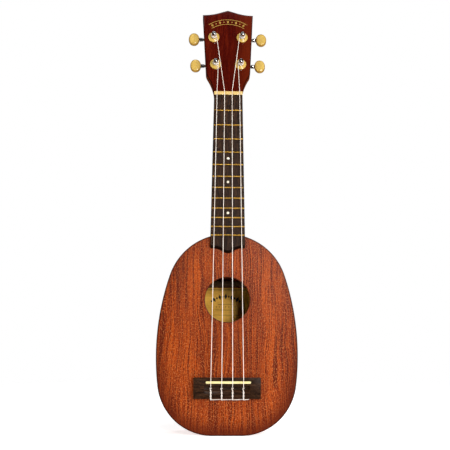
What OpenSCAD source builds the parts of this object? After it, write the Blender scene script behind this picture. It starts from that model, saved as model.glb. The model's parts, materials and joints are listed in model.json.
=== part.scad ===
// Soprano ukulele: bell-shaped hollow body, tie bridge, and four geared side tuners.
// Origin: centre line, at the nut's front edge, on the plane of the soundboard's outer face.
// +Z runs up the neck, the soundboard faces -Y, and +X is on the right of a viewer in front.

/* [Scale and fingerboard] */
// Scale length, twice the distance from the nut to the twelfth fret
scale_len = 346; // [342:1:350]
// Extra string length at the saddle
saddle_comp = 2.2; // [1.6:0.1:2.8]
// Width of the fingerboard at the nut
nut_w = 34.9; // [34.5:0.1:35.5]
// Width of the fingerboard at its body end
board_end_w = 42.2; // [41.5:0.1:43]
// Thickness of the fingerboard
board_t = 5; // [4.6:0.1:5.2]
// Distance from the nut to the fingerboard's end corners
board_len = 186; // [184:1:188]
// How far the fingerboard's sloping end reaches beyond its face
board_toe = 2.8; // [0:0.2:3.4]
// Number of frets
fret_count = 12; // [10:1:12]
// Width of a fret's crown
fret_crown_w = 1.9; // [1.4:0.1:2]
// Diameter of a position dot
dot_d = 3; // [2.5:0.1:4]

/* [Body] */
// Distance from the nut to the body's neck end
neck_len = 171; // [169:1:173]
// Length of the body
body_len = 240.5; // [236:0.5:244]
// Radius of the body's shoulders, at the neck end
shoulder_r = 73.1; // [70:0.1:75]
// Radius of the body's slow side curve
side_r = 300; // [290:1:340]
// Radius of the body's lower corners
corner_r = 66.2; // [64:0.1:69]
// Width of the flat at the body's lower end
tail_flat_w = 34; // [30:1:38]
// Depth of the body, over the soundboard and the back
body_d = 60; // [56:1:64]
// Thickness of the soundboard and of the back
plate_t = 2; // [1.8:0.1:2.2]
// Thickness of the ribs
rib_t = 2; // [1.6:0.1:2.4]
// Diameter of the sound hole
hole_d = 53.6; // [50:0.1:56]
// Distance from the nut to the sound hole's centre
hole_dist = 250.7; // [248:0.1:254]

/* [Neck and headstock] */
// Backward tilt of the headstock
head_tilt = 12; // [10:0.5:13]
// Thickness of the headstock with its face veneer
head_t = 13; // [12:0.5:13]
// Thickness of the face veneer
veneer_t = 1.5; // [1:0.1:2]
// Half width of the headstock at the nut
head_waist = 17.7; // [17.5:0.1:18]
// Length of the headstock to its top corners
head_corner_t = 108.7; // [104:0.1:110]
// Depth of the neck at the first fret, without the fingerboard
neck_d_nut = 12.6; // [12:0.1:13.5]
// Depth of the neck at the start of the heel
neck_d_heel = 15; // [14:0.1:16]
// Depth of the heel
heel_d = 52; // [48:1:54]

/* [Bridge and strings] */
// Width of the bridge
bridge_w = 80; // [78:1:84]
// Height of the bridge along the strings
bridge_h = 24.5; // [24:0.5:26]
// Thickness of the bridge
bridge_t = 7; // [6.8:0.1:7.4]
// Width of the string spread at the nut
nut_spread = 27.8; // [27:0.1:28.5]
// Width of the string spread at the saddle
saddle_spread = 38.8; // [38:0.1:40]
// Sideways offset of the saddle from the middle of the bridge
saddle_off = 1.4; // [0:0.1:2]
// Diameter of a string
string_d = 0.7; // [0.6:0.05:0.8]

/* [Tuners] */
// Distance between the lower pair of tuning posts
lower_post_span = 31.2; // [31:0.1:32]
// Distance between the upper pair of tuning posts
upper_post_span = 35.8; // [35:0.1:36.5]
// Distance along the headstock to the lower pair of posts
lower_post_t = 38.4; // [37:0.1:40]
// Distance along the headstock to the upper pair of posts
upper_post_t = 76.3; // [75:0.1:78]
// Diameter of a tuning post
post_d = 5.6; // [5.4:0.1:5.8]
// Height of a tuning post above the headstock's face
post_h = 11.5; // [11:0.1:12.5]
// Teeth on a tuner's gear
gear_teeth = 14; // [14:1:14]
// Length of a tuner's button along its shaft
button_l = 13.5; // [12:0.1:14]
// Width of a tuner's button
button_w = 17.2; // [15:0.1:18]
// Thickness of a tuner's button
button_t = 7; // [6:0.1:8]

/* [Hidden] */
STRINGS = ["g", "c", "e", "a"];
$fn = 48;

mahogany = "#9c4a22";
red_gloss = "#571005";
rosewood = "#46301f";
spruce = "#d8bd8c";
cream = "#e4bb5e";
bone = "#f4ecb8";
steel = "#c9ccd0";
brass = "#d8ac54";
nylon = "#e8dcd2";

eps = 0.01;       // overrun of a cut past a face
slide = 0.05;     // gap round glued and pressed pieces
run = 0.05;       // radial clearance of a turning pin
lift = 0.05;      // gap between a string and what carries it

// ---- Plans and curves ----

// Points of an arc in a plan, from angle a0 to a1, both measured from +Z towards +X
function arc(c, r, a0, a1, n) =
    [for (i = [0:n]) let (a = a0 + (a1 - a0) * i / n) [c[0] + r * sin(a), c[1] + r * cos(a)]];

// A half outline on the +X side, completed by its mirror image
function both_sides(half) =
    concat(half, [for (i = [len(half) - 1:-1:0]) if (half[i][0] > eps) [-half[i][0], half[i][1]]]);

function unit(v) = v / norm(v);
function mix(a, b, f) = a + (b - a) * f;
function clamp01(v) = min(1, max(0, v));
function smooth(v) = let (c = clamp01(v)) c * c * (3 - 2 * c);

// A flat plan (x, z) made into a plate between two depths
module slab(y0, y1) {
    translate([0, y1, 0]) rotate([90, 0, 0]) linear_extrude(y1 - y0) children();
}

// A block given by its lowest and highest corners
module block(low, high) {
    translate(low) cube(high - low);
}

// ---- Body outline: shoulder arc, slow side arc, corner arc, and a short flat ----

body_top = -neck_len;
body_bottom = body_top - body_len;
shoulder_c = [0, body_top - shoulder_r];
corner_c = [tail_flat_w / 2, body_bottom + corner_r];
// The side arc's centre lies where both neighbours are touched from inside
centre_gap = norm(corner_c - shoulder_c);
reach_a = side_r - shoulder_r;
reach_b = side_r - corner_r;
along = (reach_a * reach_a - reach_b * reach_b + centre_gap * centre_gap) / (2 * centre_gap);
across = sqrt(reach_a * reach_a - along * along);
gap_dir = (corner_c - shoulder_c) / centre_gap;
side_c = shoulder_c + along * gap_dir + across * [gap_dir[1], -gap_dir[0]];
shoulder_end = atan2(shoulder_c[0] - side_c[0], shoulder_c[1] - side_c[1]);
side_end = atan2(corner_c[0] - side_c[0], corner_c[1] - side_c[1]);

function body_half(off) = concat(
    arc(shoulder_c, shoulder_r - off, 0, shoulder_end, 26),
    arc(side_c, side_r - off, shoulder_end + 2, side_end, 9),
    arc(corner_c, corner_r - off, side_end + 3, 180, 26));

module body_plan(off) {
    polygon(both_sides(body_half(off)));
}

lining_w = 5;
lining_t = 6;
inner_y0 = plate_t;
inner_y1 = body_d - plate_t;
block_w = 48;
neck_block_z = body_top - rib_t - 14;
tail_block_z = body_bottom + rib_t + 12;
body_wide = 200;

module soundboard() color(mahogany) difference() {
    slab(0, plate_t) body_plan(0);
    translate([0, -eps, -hole_dist]) rotate([-90, 0, 0]) cylinder(d = hole_d, h = plate_t + 2 * eps);
}

module back_plate() color(mahogany) slab(inner_y1, body_d) body_plan(0);

module rib(side) {
    difference() {
        slab(inner_y0, inner_y1) difference() {
            body_plan(0);
            body_plan(rib_t);
            translate([side > 0 ? -body_wide : 0, body_bottom - 1]) square([body_wide, body_len + 2]);
        }
        dowel_holes();
    }
}
module rib_left() color(mahogany) rib(-1);
module rib_right() color(mahogany) rib(1);

module neck_block() color(spruce) difference() {
    slab(inner_y0, inner_y1) intersection() {
        body_plan(rib_t);
        translate([-block_w / 2, neck_block_z]) square([block_w, 30]);
    }
    dowel_holes();
}

module tail_block() color(spruce) slab(inner_y0, inner_y1) intersection() {
    body_plan(rib_t);
    translate([-block_w / 2, body_bottom]) square([block_w, tail_block_z - body_bottom]);
}

// Glue strip round the inside of the ribs, broken at the two end blocks
module lining(y0, y1) {
    slab(y0, y1) difference() {
        body_plan(rib_t);
        body_plan(rib_t + lining_w);
        translate([-block_w / 2 - slide, neck_block_z - slide]) square([block_w + 2 * slide, 60]);
        translate([-block_w / 2 - slide, body_bottom - 1]) {
            square([block_w + 2 * slide, tail_block_z + slide - body_bottom + 1]);
        }
    }
}
module top_lining() color(spruce) lining(inner_y0, inner_y0 + lining_t);
module back_lining() color(spruce) lining(inner_y1 - lining_t, inner_y1);

brace_w = 7;
brace_t = 9;
// Bar across the body, cut to fit between the linings
module brace(z, y0, y1) {
    slab(y0, y1) intersection() {
        body_plan(rib_t + lining_w + slide);
        translate([-body_wide / 2, z - brace_w / 2]) square([body_wide, brace_w]);
    }
}
upper_brace_z = -hole_dist + hole_d / 2 + 9;
lower_brace_z = -hole_dist - hole_d / 2 - 12;
back_upper_z = -hole_dist + 20.5;
back_lower_z = -330;
module top_brace_upper() color(spruce) brace(upper_brace_z, inner_y0, inner_y0 + brace_t);
module top_brace_lower() color(spruce) brace(lower_brace_z, inner_y0, inner_y0 + brace_t);
module back_brace_upper() color(mahogany) brace(back_upper_z, inner_y1 - brace_t, inner_y1);
module back_brace_lower() color(mahogany) brace(back_lower_z, inner_y1 - brace_t, inner_y1);

patch_w = 96;
patch_h = 34;
patch_t = 2;
module bridge_patch() color(spruce) {
    translate([0, inner_y0 + patch_t, bridge_z]) rotate([90, 0, 0]) {
        linear_extrude(patch_t) square([patch_w, patch_h], center = true);
    }
}

label_w = 72;
label_h = 56;
label_t = 0.3;
module paper_label() color("#bb9142") {
    block([-label_w / 2, inner_y1 - label_t, back_upper_z - brace_w / 2 - 1 - label_h],
          [label_w / 2, inner_y1, back_upper_z - brace_w / 2 - 1]);
}

// ---- Neck ----

dowel_d = 8;
dowel_ys = [13, 31];
dowel_in = 13;
dowel_out = 9;
module dowels(r, spare) {
    for (y = dowel_ys) {
        translate([0, y, body_top - dowel_in - spare]) {
            cylinder(r = r, h = dowel_in + dowel_out + 2 * spare);
        }
    }
}
module dowel_holes() dowels(dowel_d / 2 + slide, 0.5);
module neck_dowels() color(spruce) dowels(dowel_d / 2, 0);

nut_t = 4.3;
nut_gap = 0.3;
head_foot_z = nut_t + nut_gap;
head_face_y = -1;
heel_flat = 9;
heel_run = 34;
heel_tip = 10;
heel_start = body_top + heel_flat;
neck_bury = 5;
head_blend = 26;
neck_end_d = head_face_y + head_t * cos(head_tilt);

function board_half(z) = (nut_w + (board_end_w - nut_w) * -z / board_len) / 2;
function heel_f(z) = let (u = clamp01((z - heel_start) / heel_run)) 1 - sqrt(1 - (1 - u) * (1 - u));
function head_f(z) = smooth((z + head_blend) / head_blend);
function neck_depth(z) = let (
    plain = mix(neck_d_nut, neck_d_heel, clamp01(-z / (neck_len - heel_flat - heel_run))))
    mix(mix(plain, neck_end_d, head_f(z)), heel_d, heel_f(z));

// One cross-section of the neck, from the right edge round the back to the left edge
neck_steps = 22;
function neck_ring(z) = let (
    w = z > 0 ? head_waist : board_half(z),
    d = neck_depth(z),
    tip = heel_tip * sqrt(1 - pow(clamp01((z - body_top) / heel_flat), 2)),
    side_bow = mix(mix(0.9, 1.5, heel_f(z)), 0.3, head_f(z)),
    back_bow = mix(0.85, 0.3, head_f(z)),
    lean = head_f(z) * tan(head_tilt))
    [for (i = [0:neck_steps]) let (
        a = 180 * i / neck_steps,
        c = abs(cos(a)),
        y = d * pow(sin(a), back_bow),
        x = tip * min(1, 8 * c) + (w - tip) * pow(c, side_bow))
        [a < 90 ? x : -x, y, z - lean * (y - head_face_y)]];

neck_zs = concat(
    [for (i = [0:7]) body_top - neck_bury + (neck_bury + heel_flat) * i / 7],
    [for (i = [1:11]) heel_start + heel_run * pow(i / 11, 1.6)],
    [for (i = [1:5]) mix(heel_start + heel_run, -head_blend, i / 5)],
    [for (i = [1:7]) mix(-head_blend, head_foot_z, i / 7)]);

// Skin over a stack of equal rings, closed at both ends
module loft(rings) {
    n = len(rings[0]);
    m = len(rings);
    walls = [for (j = [0:m - 2], i = [0:n - 1]) let (a = j * n + i, b = j * n + (i + 1) % n)
        each [[a, b, a + n], [b, b + n, a + n]]];
    first = [for (i = [n - 1:-1:0]) i];
    last = [for (i = [0:n - 1]) (m - 1) * n + i];
    polyhedron([for (r = rings) each r], concat(walls, [first], [last]));
}

module neck() color(mahogany) difference() {
    loft([for (z = neck_zs) neck_ring(z)]);
    slab(-1, body_d) body_plan(0);
    dowel_holes();
}

heel_cap_t = 2;
module heel_cap() color(rosewood) slab(heel_d, heel_d + heel_cap_t) difference() {
    polygon([for (a = [0:9:180]) [heel_tip * cos(a), body_top + heel_flat * sin(a)],
             [-heel_tip, body_top - neck_bury], [heel_tip, body_top - neck_bury]]);
    body_plan(0);
}

// ---- Headstock ----

flare_r = 64;
flare_a0 = 10;
flare_a1 = 31;
flare_round = 12;
head_side_a = 3;
crest_r = 66;
crest_a = 18;
crest_round = 2.5;

// Half outline: concave flare, rounded shoulder, straight side, sharp corner, bracket-shaped crest
shoulder_x = head_waist + flare_r * (cos(flare_a0) - cos(flare_a1));
shoulder_t = flare_r * (sin(flare_a1) - sin(flare_a0));
side_x = shoulder_x + flare_round * (cos(head_side_a) - cos(flare_a1));
side_t = shoulder_t + flare_round * (sin(flare_a1) - sin(head_side_a));
head_corner_x = side_x + (head_corner_t - side_t) * tan(head_side_a);
scoop_x = head_corner_x - crest_r * sin(crest_a);
scoop_t = head_corner_t + crest_r * (1 - cos(crest_a));
crest_t = scoop_t + (scoop_x - crest_round * sin(crest_a)) * tan(crest_a)
    + crest_round * (1 - cos(crest_a));

head_half = concat(
    [for (i = [0:8]) let (a = mix(flare_a0, flare_a1, i / 8))
        [head_waist + flare_r * (cos(flare_a0) - cos(a)), flare_r * (sin(a) - sin(flare_a0))]],
    [for (i = [1:4]) let (a = mix(flare_a1, head_side_a, i / 4))
        [shoulder_x + flare_round * (cos(a) - cos(flare_a1)),
         shoulder_t + flare_round * (sin(flare_a1) - sin(a))]],
    [for (i = [0:8]) let (a = crest_a * i / 8)
        [head_corner_x - crest_r * sin(a), head_corner_t + crest_r * (1 - cos(a))]],
    [for (i = [0:4]) let (a = crest_a * (1 - i / 4))
        [crest_round * sin(a), crest_t - crest_round * (1 - cos(a))]]);

// Children are drawn with x across, y along the face from the nut, and z out of the face
module on_head() {
    translate([0, head_face_y, head_foot_z]) rotate([90 - head_tilt, 0, 0]) children();
}
function on_head_pt(p) = [
    p[0],
    head_face_y + p[1] * sin(head_tilt) - p[2] * cos(head_tilt),
    head_foot_z + p[1] * cos(head_tilt) + p[2] * sin(head_tilt)];

module head_slab(h0, h1) {
    translate([0, 0, h0]) linear_extrude(h1 - h0) polygon(both_sides(head_half));
}

// Tuner places: the outer strings go to the lower posts, the inner strings to the upper ones
function is_lower(k) = k == 0 || k == 3;
function side_of(k) = k < 2 ? -1 : 1;
function post_x(k) = side_of(k) * (is_lower(k) ? lower_post_span : upper_post_span) / 2;
function post_t(k) = is_lower(k) ? lower_post_t : upper_post_t;

module at_post(k) {
    on_head() translate([post_x(k), post_t(k), 0]) children();
}

bush_flange_d = 14.2;
bush_sleeve_d = 8;
bush_sleeve_l = 7;
bush_h = 2.3;
through_r = post_d / 2 + 0.3;
screw_shank_r = 0.9;
screw_l = 7;
screw_head_r = 2.1;
screw_head_h = 1.2;
lug_ts = [-10.5, 15.5];

module head_holes() {
    for (k = [0:3]) {
        at_post(k) {
            translate([0, 0, -bush_sleeve_l - 0.1]) {
                cylinder(d = bush_sleeve_d + 2 * slide, h = bush_sleeve_l + 1);
            }
            translate([0, 0, -head_t - 1]) cylinder(r = through_r, h = head_t);
            for (t = lug_ts) {
                translate([0, t, -head_t - 1]) cylinder(r = screw_shank_r + slide, h = screw_l + 1.2);
            }
        }
    }
}

module headstock() color(red_gloss) difference() {
    on_head() head_slab(-head_t, -veneer_t);
    head_holes();
}

module head_veneer() color(red_gloss) difference() {
    on_head() head_slab(-veneer_t, 0);
    head_holes();
}

// ---- Fingerboard, frets, dots and nut ----

scoop_a = 35;
tip_r = 8.5;
side_land = 2;
end_half = board_half(-board_len);
tip_x = tip_r * sin(scoop_a);
end_scoop_r = (end_half - side_land - tip_x) / sin(scoop_a);
end_scoop_z = -board_len - end_scoop_r * (1 - cos(scoop_a));
tip_z = end_scoop_z - tip_r * (1 - cos(scoop_a));

// Half outline, its lower end moved down by d
function board_half_plan(d) = concat(
    [[nut_w / 2, 0], [board_half(-board_len - d), -board_len - d]],
    [for (i = [0:8]) let (a = scoop_a * i / 8)
        [end_half - side_land - end_scoop_r * sin(a), -board_len - d - end_scoop_r * (1 - cos(a))]],
    [for (i = [1:6]) let (a = scoop_a * (1 - i / 6))
        [tip_r * sin(a), tip_z - d + tip_r * (1 - cos(a))]]);
function board_ring(y, d) = [for (p = both_sides(board_half_plan(d))) [p[0], y, p[1]]];

function fret_z(n) = -scale_len * (1 - pow(2, -n / 12));
tang_w = 0.5;
tang_d = 1.6;
dot_depth = 1;
dot_frets = [5, 7, 10];

module at_dots() {
    for (n = dot_frets) {
        if (n <= fret_count) {
            translate([0, -board_t, (fret_z(n - 1) + fret_z(n)) / 2]) rotate([-90, 0, 0]) children();
        }
    }
}

module fingerboard() color(rosewood) difference() {
    loft([board_ring(-board_t, 0), board_ring(0, board_toe)]);
    for (n = [1:fret_count]) {
        translate([0, -board_t + tang_d / 2, fret_z(n)]) {
            cube([2 * board_end_w, tang_d + 2 * slide, tang_w + 2 * slide], center = true);
        }
    }
    at_dots() translate([0, 0, -1]) cylinder(d = dot_d + 2 * slide, h = dot_depth + 1 + slide);
}

module fret(n) {
    half = board_half(fret_z(n)) - 0.1;
    translate([-half, -board_t, fret_z(n)]) rotate([0, 90, 0]) intersection() {
        cylinder(d = fret_crown_w, h = 2 * half);
        translate([-fret_crown_w, -fret_crown_w, 0]) cube([2 * fret_crown_w, fret_crown_w, 2 * half]);
    }
    translate([-half, -board_t - eps, fret_z(n) - tang_w / 2]) cube([2 * half, tang_d - slide, tang_w]);
}
module frets() color(brass) for (n = [1:fret_count]) fret(n);

module position_dots() color("white") at_dots() cylinder(d = dot_d, h = dot_depth);

string_r = string_d / 2;
string_nut_y = -board_t - fret_crown_w / 2 - 0.55;
nut_exit_y = string_nut_y + 0.75;
nut_front_y = -board_t - 2.1;
nut_back_y = -board_t - 1.1;
slot_w = string_d + 0.15;

function nut_x(k) = nut_spread * (k / 3 - 0.5);
function saddle_x(k) = saddle_spread * (k / 3 - 0.5);

module nut() color(bone) difference() {
    translate([-nut_w / 2, 0, 0]) rotate([90, 0, 90]) linear_extrude(nut_w) {
        polygon([[0, slide], [0, nut_t], [nut_back_y, nut_t],
                 [nut_front_y, nut_t * 0.45], [nut_front_y, slide]]);
    }
    for (k = [0:3]) {
        translate([nut_x(k) - slot_w / 2, 0, 0]) rotate([90, 0, 90]) linear_extrude(slot_w) {
            polygon([[string_nut_y + string_r + lift, -1],
                     [string_nut_y + string_r + lift, 0],
                     [nut_exit_y + string_r + 2 * lift, nut_t + 0.4],
                     [-3 * board_t, nut_t + 0.4],
                     [-3 * board_t, -1]]);
        }
    }
}

// ---- Bridge and saddle ----

saddle_z = -scale_len - saddle_comp;
bridge_top_z = saddle_z + 5.2;
bridge_z = bridge_top_z - bridge_h / 2;
bridge_back_z = bridge_top_z - bridge_h;
saddle_t = 2.8;
saddle_l = 53.6;
saddle_top_y = -10.25;
saddle_slot_y = -3.5;
channel_half = 27;
channel_y = -3;
channel_z1 = saddle_z - 3.9;
tie_front_z = saddle_z - 8.2;
tie_top_y = -bridge_t + 0.3;
tie_hole_r = 0.9;
tie_hole_y = channel_y - tie_hole_r;

module bridge() color(rosewood) difference() {
    block([-bridge_w / 2, -bridge_t, bridge_back_z], [bridge_w / 2, 0, bridge_top_z]);
    block([saddle_off - saddle_l / 2 - slide, -bridge_t - 1, saddle_z - saddle_t / 2 - slide],
          [saddle_off + saddle_l / 2 + slide, saddle_slot_y, saddle_z + saddle_t / 2 + slide]);
    block([-channel_half, -bridge_t - 1, tie_front_z], [channel_half, channel_y, channel_z1]);
    block([-channel_half, -bridge_t - 1, bridge_back_z - 1],
          [channel_half, tie_top_y, tie_front_z + eps]);
    for (k = [0:3]) {
        translate([saddle_x(k), tie_hole_y, bridge_back_z - 1]) {
            cylinder(r = tie_hole_r, h = bridge_h / 2 + 2);
        }
    }
}

module saddle() color(bone) translate([saddle_off - saddle_l / 2, 0, saddle_z]) rotate([90, 0, 90]) {
    linear_extrude(saddle_l) {
        translate([saddle_top_y + saddle_t / 2, 0]) circle(d = saddle_t);
        translate([saddle_top_y + saddle_t / 2, -saddle_t / 2]) {
            square([saddle_slot_y - slide - saddle_top_y - saddle_t / 2, saddle_t]);
        }
    }
}

// ---- Strings ----

post_r = post_d / 2;
wrap_h = 3.3;
wrap_pitch = 0.75;
wrap_r = post_r + string_r + 0.15;
wrap_turn = 324;
wrap_steps = 18;

// From the nut to the post, then almost once round it, just above the bushing
function wrap_path(k) = let (
    s = side_of(k),
    from = [nut_x(k), 0],
    c = [post_x(k), post_t(k)],
    v = from - c,
    touch = atan2(v[1], v[0]) - s * acos(wrap_r / norm(v)))
    [for (i = [0:wrap_steps]) let (f = i / wrap_steps, a = touch - s * wrap_turn * f)
        on_head_pt([c[0] + wrap_r * cos(a), c[1] + wrap_r * sin(a), wrap_h + wrap_pitch * f])];

// Loop tied round the back bar of the bridge, then over the saddle and the nut
loop_dx = 0.95;
loop_top_y = tie_top_y - string_r - lift;
loop_front_z = tie_front_z + string_r + 2 * lift;
loop_back_z = bridge_back_z - string_r - 2 * lift;
over_saddle_y = saddle_top_y - string_r - lift;
function string_path(k) = let (x = saddle_x(k), x2 = x + loop_dx) concat(
    [[x2, -4.9, loop_front_z],
     [x2, loop_top_y + 0.6, loop_front_z],
     [x2, loop_top_y + 0.1, loop_front_z - 0.2],
     [x2, loop_top_y, loop_front_z - 0.8],
     [mix(x2, x, 0.5), loop_top_y, mix(loop_front_z, loop_back_z, 0.55)],
     [x, loop_top_y, loop_back_z + 0.8],
     [x, loop_top_y + 0.15, loop_back_z + 0.15],
     [x, loop_top_y + 0.8, loop_back_z],
     [x, tie_hole_y - 0.7, loop_back_z],
     [x, tie_hole_y - 0.15, loop_back_z + 0.15],
     [x, tie_hole_y, loop_back_z + 0.8],
     [x, tie_hole_y, tie_front_z - 0.5],
     [x, tie_hole_y - 0.2, tie_front_z + 0.3],
     [x, over_saddle_y + 0.55, saddle_z - saddle_t / 2 + 0.1],
     [x, over_saddle_y + 0.1, saddle_z - 0.6],
     [x, over_saddle_y, saddle_z],
     [nut_x(k), string_nut_y, 0],
     [nut_x(k), nut_exit_y, nut_t + 0.2]],
    wrap_path(k));

// Sweep of a small polygon along a path, with a frame carried on from ring to ring
function tangent(p, i) = unit(p[min(i + 1, len(p) - 1)] - p[max(i - 1, 0)]);
function carried(p, i, n) = i == len(p) ? [] :
    let (t = tangent(p, i), m = unit(n - (n * t) * t)) concat([m], carried(p, i + 1, m));
string_sides = 8;
module cord(p, r) {
    normals = carried(p, 0, [1, 0, 0]);
    loft([for (i = [0:len(p) - 1]) let (n = normals[i], b = cross(tangent(p, i), n))
        [for (j = [0:string_sides - 1]) let (a = -360 * j / string_sides)
            p[i] + r * (cos(a) * n + sin(a) * b)]]);
}
module string(k) color(nylon) cord(string_path(k), string_r);

// The turns above the string's last one, wound on the post, as one ring
winding_h0 = wrap_h + wrap_pitch + string_r + 0.2;
winding_turns = 3;
winding_h = winding_turns * string_d + 0.2;
module winding(k) color(nylon) at_post(k) translate([0, 0, winding_h0]) difference() {
    cylinder(r = post_r + string_d, h = winding_h);
    translate([0, 0, -1]) cylinder(r = post_r + 0.03, h = winding_h + 2);
}

// ---- Tuners ----

plate_thick = 1;
plate_w = 11.4;
ear_t = 1.2;
ear_half = 3.1;
tooth_m = 0.6;
gear_r = tooth_m * gear_teeth / 2;
worm_r = 2.2;
worm_tip_r = 2.7;
worm_root_r = 1.5;
worm_dt = gear_r + worm_r;
worm_h = -head_t - plate_thick - worm_tip_r - 0.3;
worm_lead = PI * tooth_m;
gear_w = 3;
gear_tip_r = gear_r + 0.45;
gear_root_r = gear_r - 0.8;
seat_r = 2.5;
seat_end = worm_h - gear_w / 2 - 0.1;
back_h = -head_t - plate_thick;

post_hole_h = 8.4;
module post(k) color(steel) at_post(k) difference() {
    union() {
        rotate_extrude() polygon([[0, back_h - 0.1], [post_r, back_h - 0.1], [post_r, post_h - 1],
            [post_r - 0.2, post_h - 0.45], [post_r - 0.7, post_h - 0.1], [0, post_h]]);
        translate([0, 0, seat_end]) rotate(45) cylinder(r = seat_r, h = back_h - seat_end, $fn = 4);
    }
    translate([-2 * post_r, 0, post_hole_h]) rotate([0, 90, 0]) cylinder(r = 0.8, h = 4 * post_r);
    translate([0, 0, seat_end - 1]) cylinder(r = 0.95, h = 6);
}

// Helical teeth, so that they follow the worm's thread; a gap faces the worm at rest
twist_per_mm = worm_lead / (2 * PI * worm_r) / gear_r * 180 / PI;
tooth_a = 360 / gear_teeth;
gear_plan = [for (i = [0:gear_teeth - 1]) let (a = 90 + (i + 0.5) * tooth_a)
    each [for (q = [[gear_root_r, -7.6], [gear_r, -4.6], [gear_tip_r, -2.4],
                    [gear_tip_r, 2.4], [gear_r, 4.6], [gear_root_r, 7.6]])
        [q[0] * cos(a + q[1]), q[0] * sin(a + q[1])]]];
module gear(k) color(brass) at_post(k) difference() {
    union() {
        translate([0, 0, worm_h - gear_w / 2]) rotate(-twist_per_mm * gear_w / 2) {
            linear_extrude(gear_w, twist = -twist_per_mm * gear_w, slices = 3) polygon(gear_plan);
        }
        translate([0, 0, worm_h]) cylinder(r = gear_root_r - 0.5, h = back_h - 0.15 - worm_h);
    }
    translate([0, 0, worm_h - gear_w]) rotate(45) cylinder(r = seat_r + slide, h = 3 * gear_w, $fn = 4);
}

module gear_screw(k) color(steel) at_post(k) difference() {
    union() {
        translate([0, 0, seat_end - 1.5]) cylinder(r = 2.6, h = 1.3);
        translate([0, 0, seat_end - 1]) cylinder(r = 0.9, h = 5);
    }
    translate([-3, -0.3, seat_end - 2]) cube([6, 0.6, 1.1]);
}

module tuner_plate(k) color(steel) at_post(k) difference() {
    union() {
        translate([-plate_w / 2, -7.5, back_h]) cube([plate_w, 19, plate_thick]);
        for (t = lug_ts) {
            translate([0, t, back_h]) cylinder(r = 3.2, h = plate_thick);
            translate([-3.2, min(t, 0), back_h]) cube([6.4, abs(t), plate_thick]);
        }
        for (x = [-plate_w / 2, plate_w / 2 - ear_t]) {
            translate([x, worm_dt, worm_h]) rotate([0, 90, 0]) cylinder(r = ear_half, h = ear_t);
            translate([x, worm_dt - ear_half, worm_h]) {
                cube([ear_t, 2 * ear_half, back_h + 0.5 - worm_h]);
            }
        }
    }
    translate([0, 0, back_h - 1]) cylinder(r = post_r + run, h = 3);
    for (t = lug_ts) {
        translate([0, t, back_h - 1]) cylinder(r = screw_shank_r + 0.2, h = 3);
    }
    translate([0, worm_dt, worm_h]) rotate([0, 90 * side_of(k), 0]) {
        translate([0, 0, -plate_w]) cylinder(r = worm_journal_in + run, h = plate_w);
        cylinder(r = worm_journal_out + run, h = plate_w);
    }
}

worm_journal_in = 1.2;
worm_journal_out = 1.8;
worm_half = plate_w / 2 - ear_t - 0.3;
shaft_r = 1.65;
collar_r = 2.4;
collar_x = 14;
button_x = 18.3;
tang_r = 1.2;
tang_l = 7.5;
thread_sides = 14;
thread_turns = 2 * worm_half / worm_lead;
thread_slices = ceil(thread_sides * thread_turns);
// Radius of the thread's cross-section: crest, two flanks, and root
crest_half_a = 44;
root_half_a = 116;
function thread_r(a) =
    mix(worm_tip_r, worm_root_r, clamp01((abs(a) - crest_half_a) / (root_half_a - crest_half_a)));
thread_plan = [for (i = [0:thread_sides - 1]) let (a = 360 * (i + 0.5) / thread_sides - 180)
    thread_r(a) * [cos(a), sin(a)]];

// Right-handed worm along x, its thread's crest facing the gear at the middle, and its shaft
module worm(k) color(steel) at_post(k) translate([0, worm_dt, worm_h]) {
    rotate([90, 0, 90]) translate([0, 0, -worm_half]) rotate(180 - 180 * thread_turns) {
        linear_extrude(2 * worm_half, twist = -360 * thread_turns, slices = thread_slices,
                       segments = thread_sides) {
            polygon(thread_plan);
        }
    }
    rotate([0, 90 * side_of(k), 0]) {
        translate([0, 0, -plate_w / 2 - 0.4]) cylinder(r = worm_journal_in, h = plate_w / 2);
        translate([0, 0, worm_half - 0.1]) cylinder(r = worm_journal_in, h = 0.4);
        translate([0, 0, worm_half]) cylinder(r = worm_journal_out, h = ear_t + 0.6);
        translate([0, 0, plate_w / 2 + 0.2]) cylinder(r = collar_r, h = 1);
        translate([0, 0, plate_w / 2 + 1]) cylinder(r = shaft_r, h = collar_x - plate_w / 2 - 1);
        translate([0, 0, collar_x]) cylinder(r = collar_r, h = button_x - collar_x);
        translate([0, 0, button_x - 0.1]) cylinder(r = tang_r, h = tang_l + 0.1);
    }
}

button_pow = 2.12;
rim_pow = 2.6;
function lobe(a, b, p, n) = [for (i = [0:n - 1]) let (u = 360 * i / n, c = cos(u), s = sin(u))
    [a * sign(c) * pow(abs(c), 2 / p), b * sign(s) * pow(abs(s), 2 / p)]];
module button(k) color(cream) at_post(k) {
    translate([side_of(k) * (button_x + button_l / 2), worm_dt, worm_h]) difference() {
        intersection() {
            translate([0, 0, -button_t]) linear_extrude(2 * button_t) {
                polygon(lobe(button_l / 2, button_w / 2, button_pow, 36));
            }
            rotate([90, 0, 90]) translate([0, 0, -button_l]) linear_extrude(2 * button_l) {
                polygon(lobe(button_w / 2, button_t / 2, rim_pow, 36));
            }
        }
        rotate([0, 90 * side_of(k), 0]) translate([0, 0, -button_l]) {
            cylinder(r = tang_r + slide, h = button_l / 2 + tang_l + 0.2);
        }
    }
}

module bushings() color(cream) for (k = [0:3]) at_post(k) rotate_extrude() {
    polygon([[post_r + run, -bush_sleeve_l], [bush_sleeve_d / 2, -bush_sleeve_l],
             [bush_sleeve_d / 2, 0], [bush_flange_d / 2, 0], [bush_flange_d / 2, 0.5],
             [bush_flange_d / 2 - 0.5, 1], [bush_sleeve_d / 2 + 0.4, bush_h - 0.25],
             [bush_sleeve_d / 2 - 0.4, bush_h], [post_r + run, bush_h]]);
}

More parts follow.
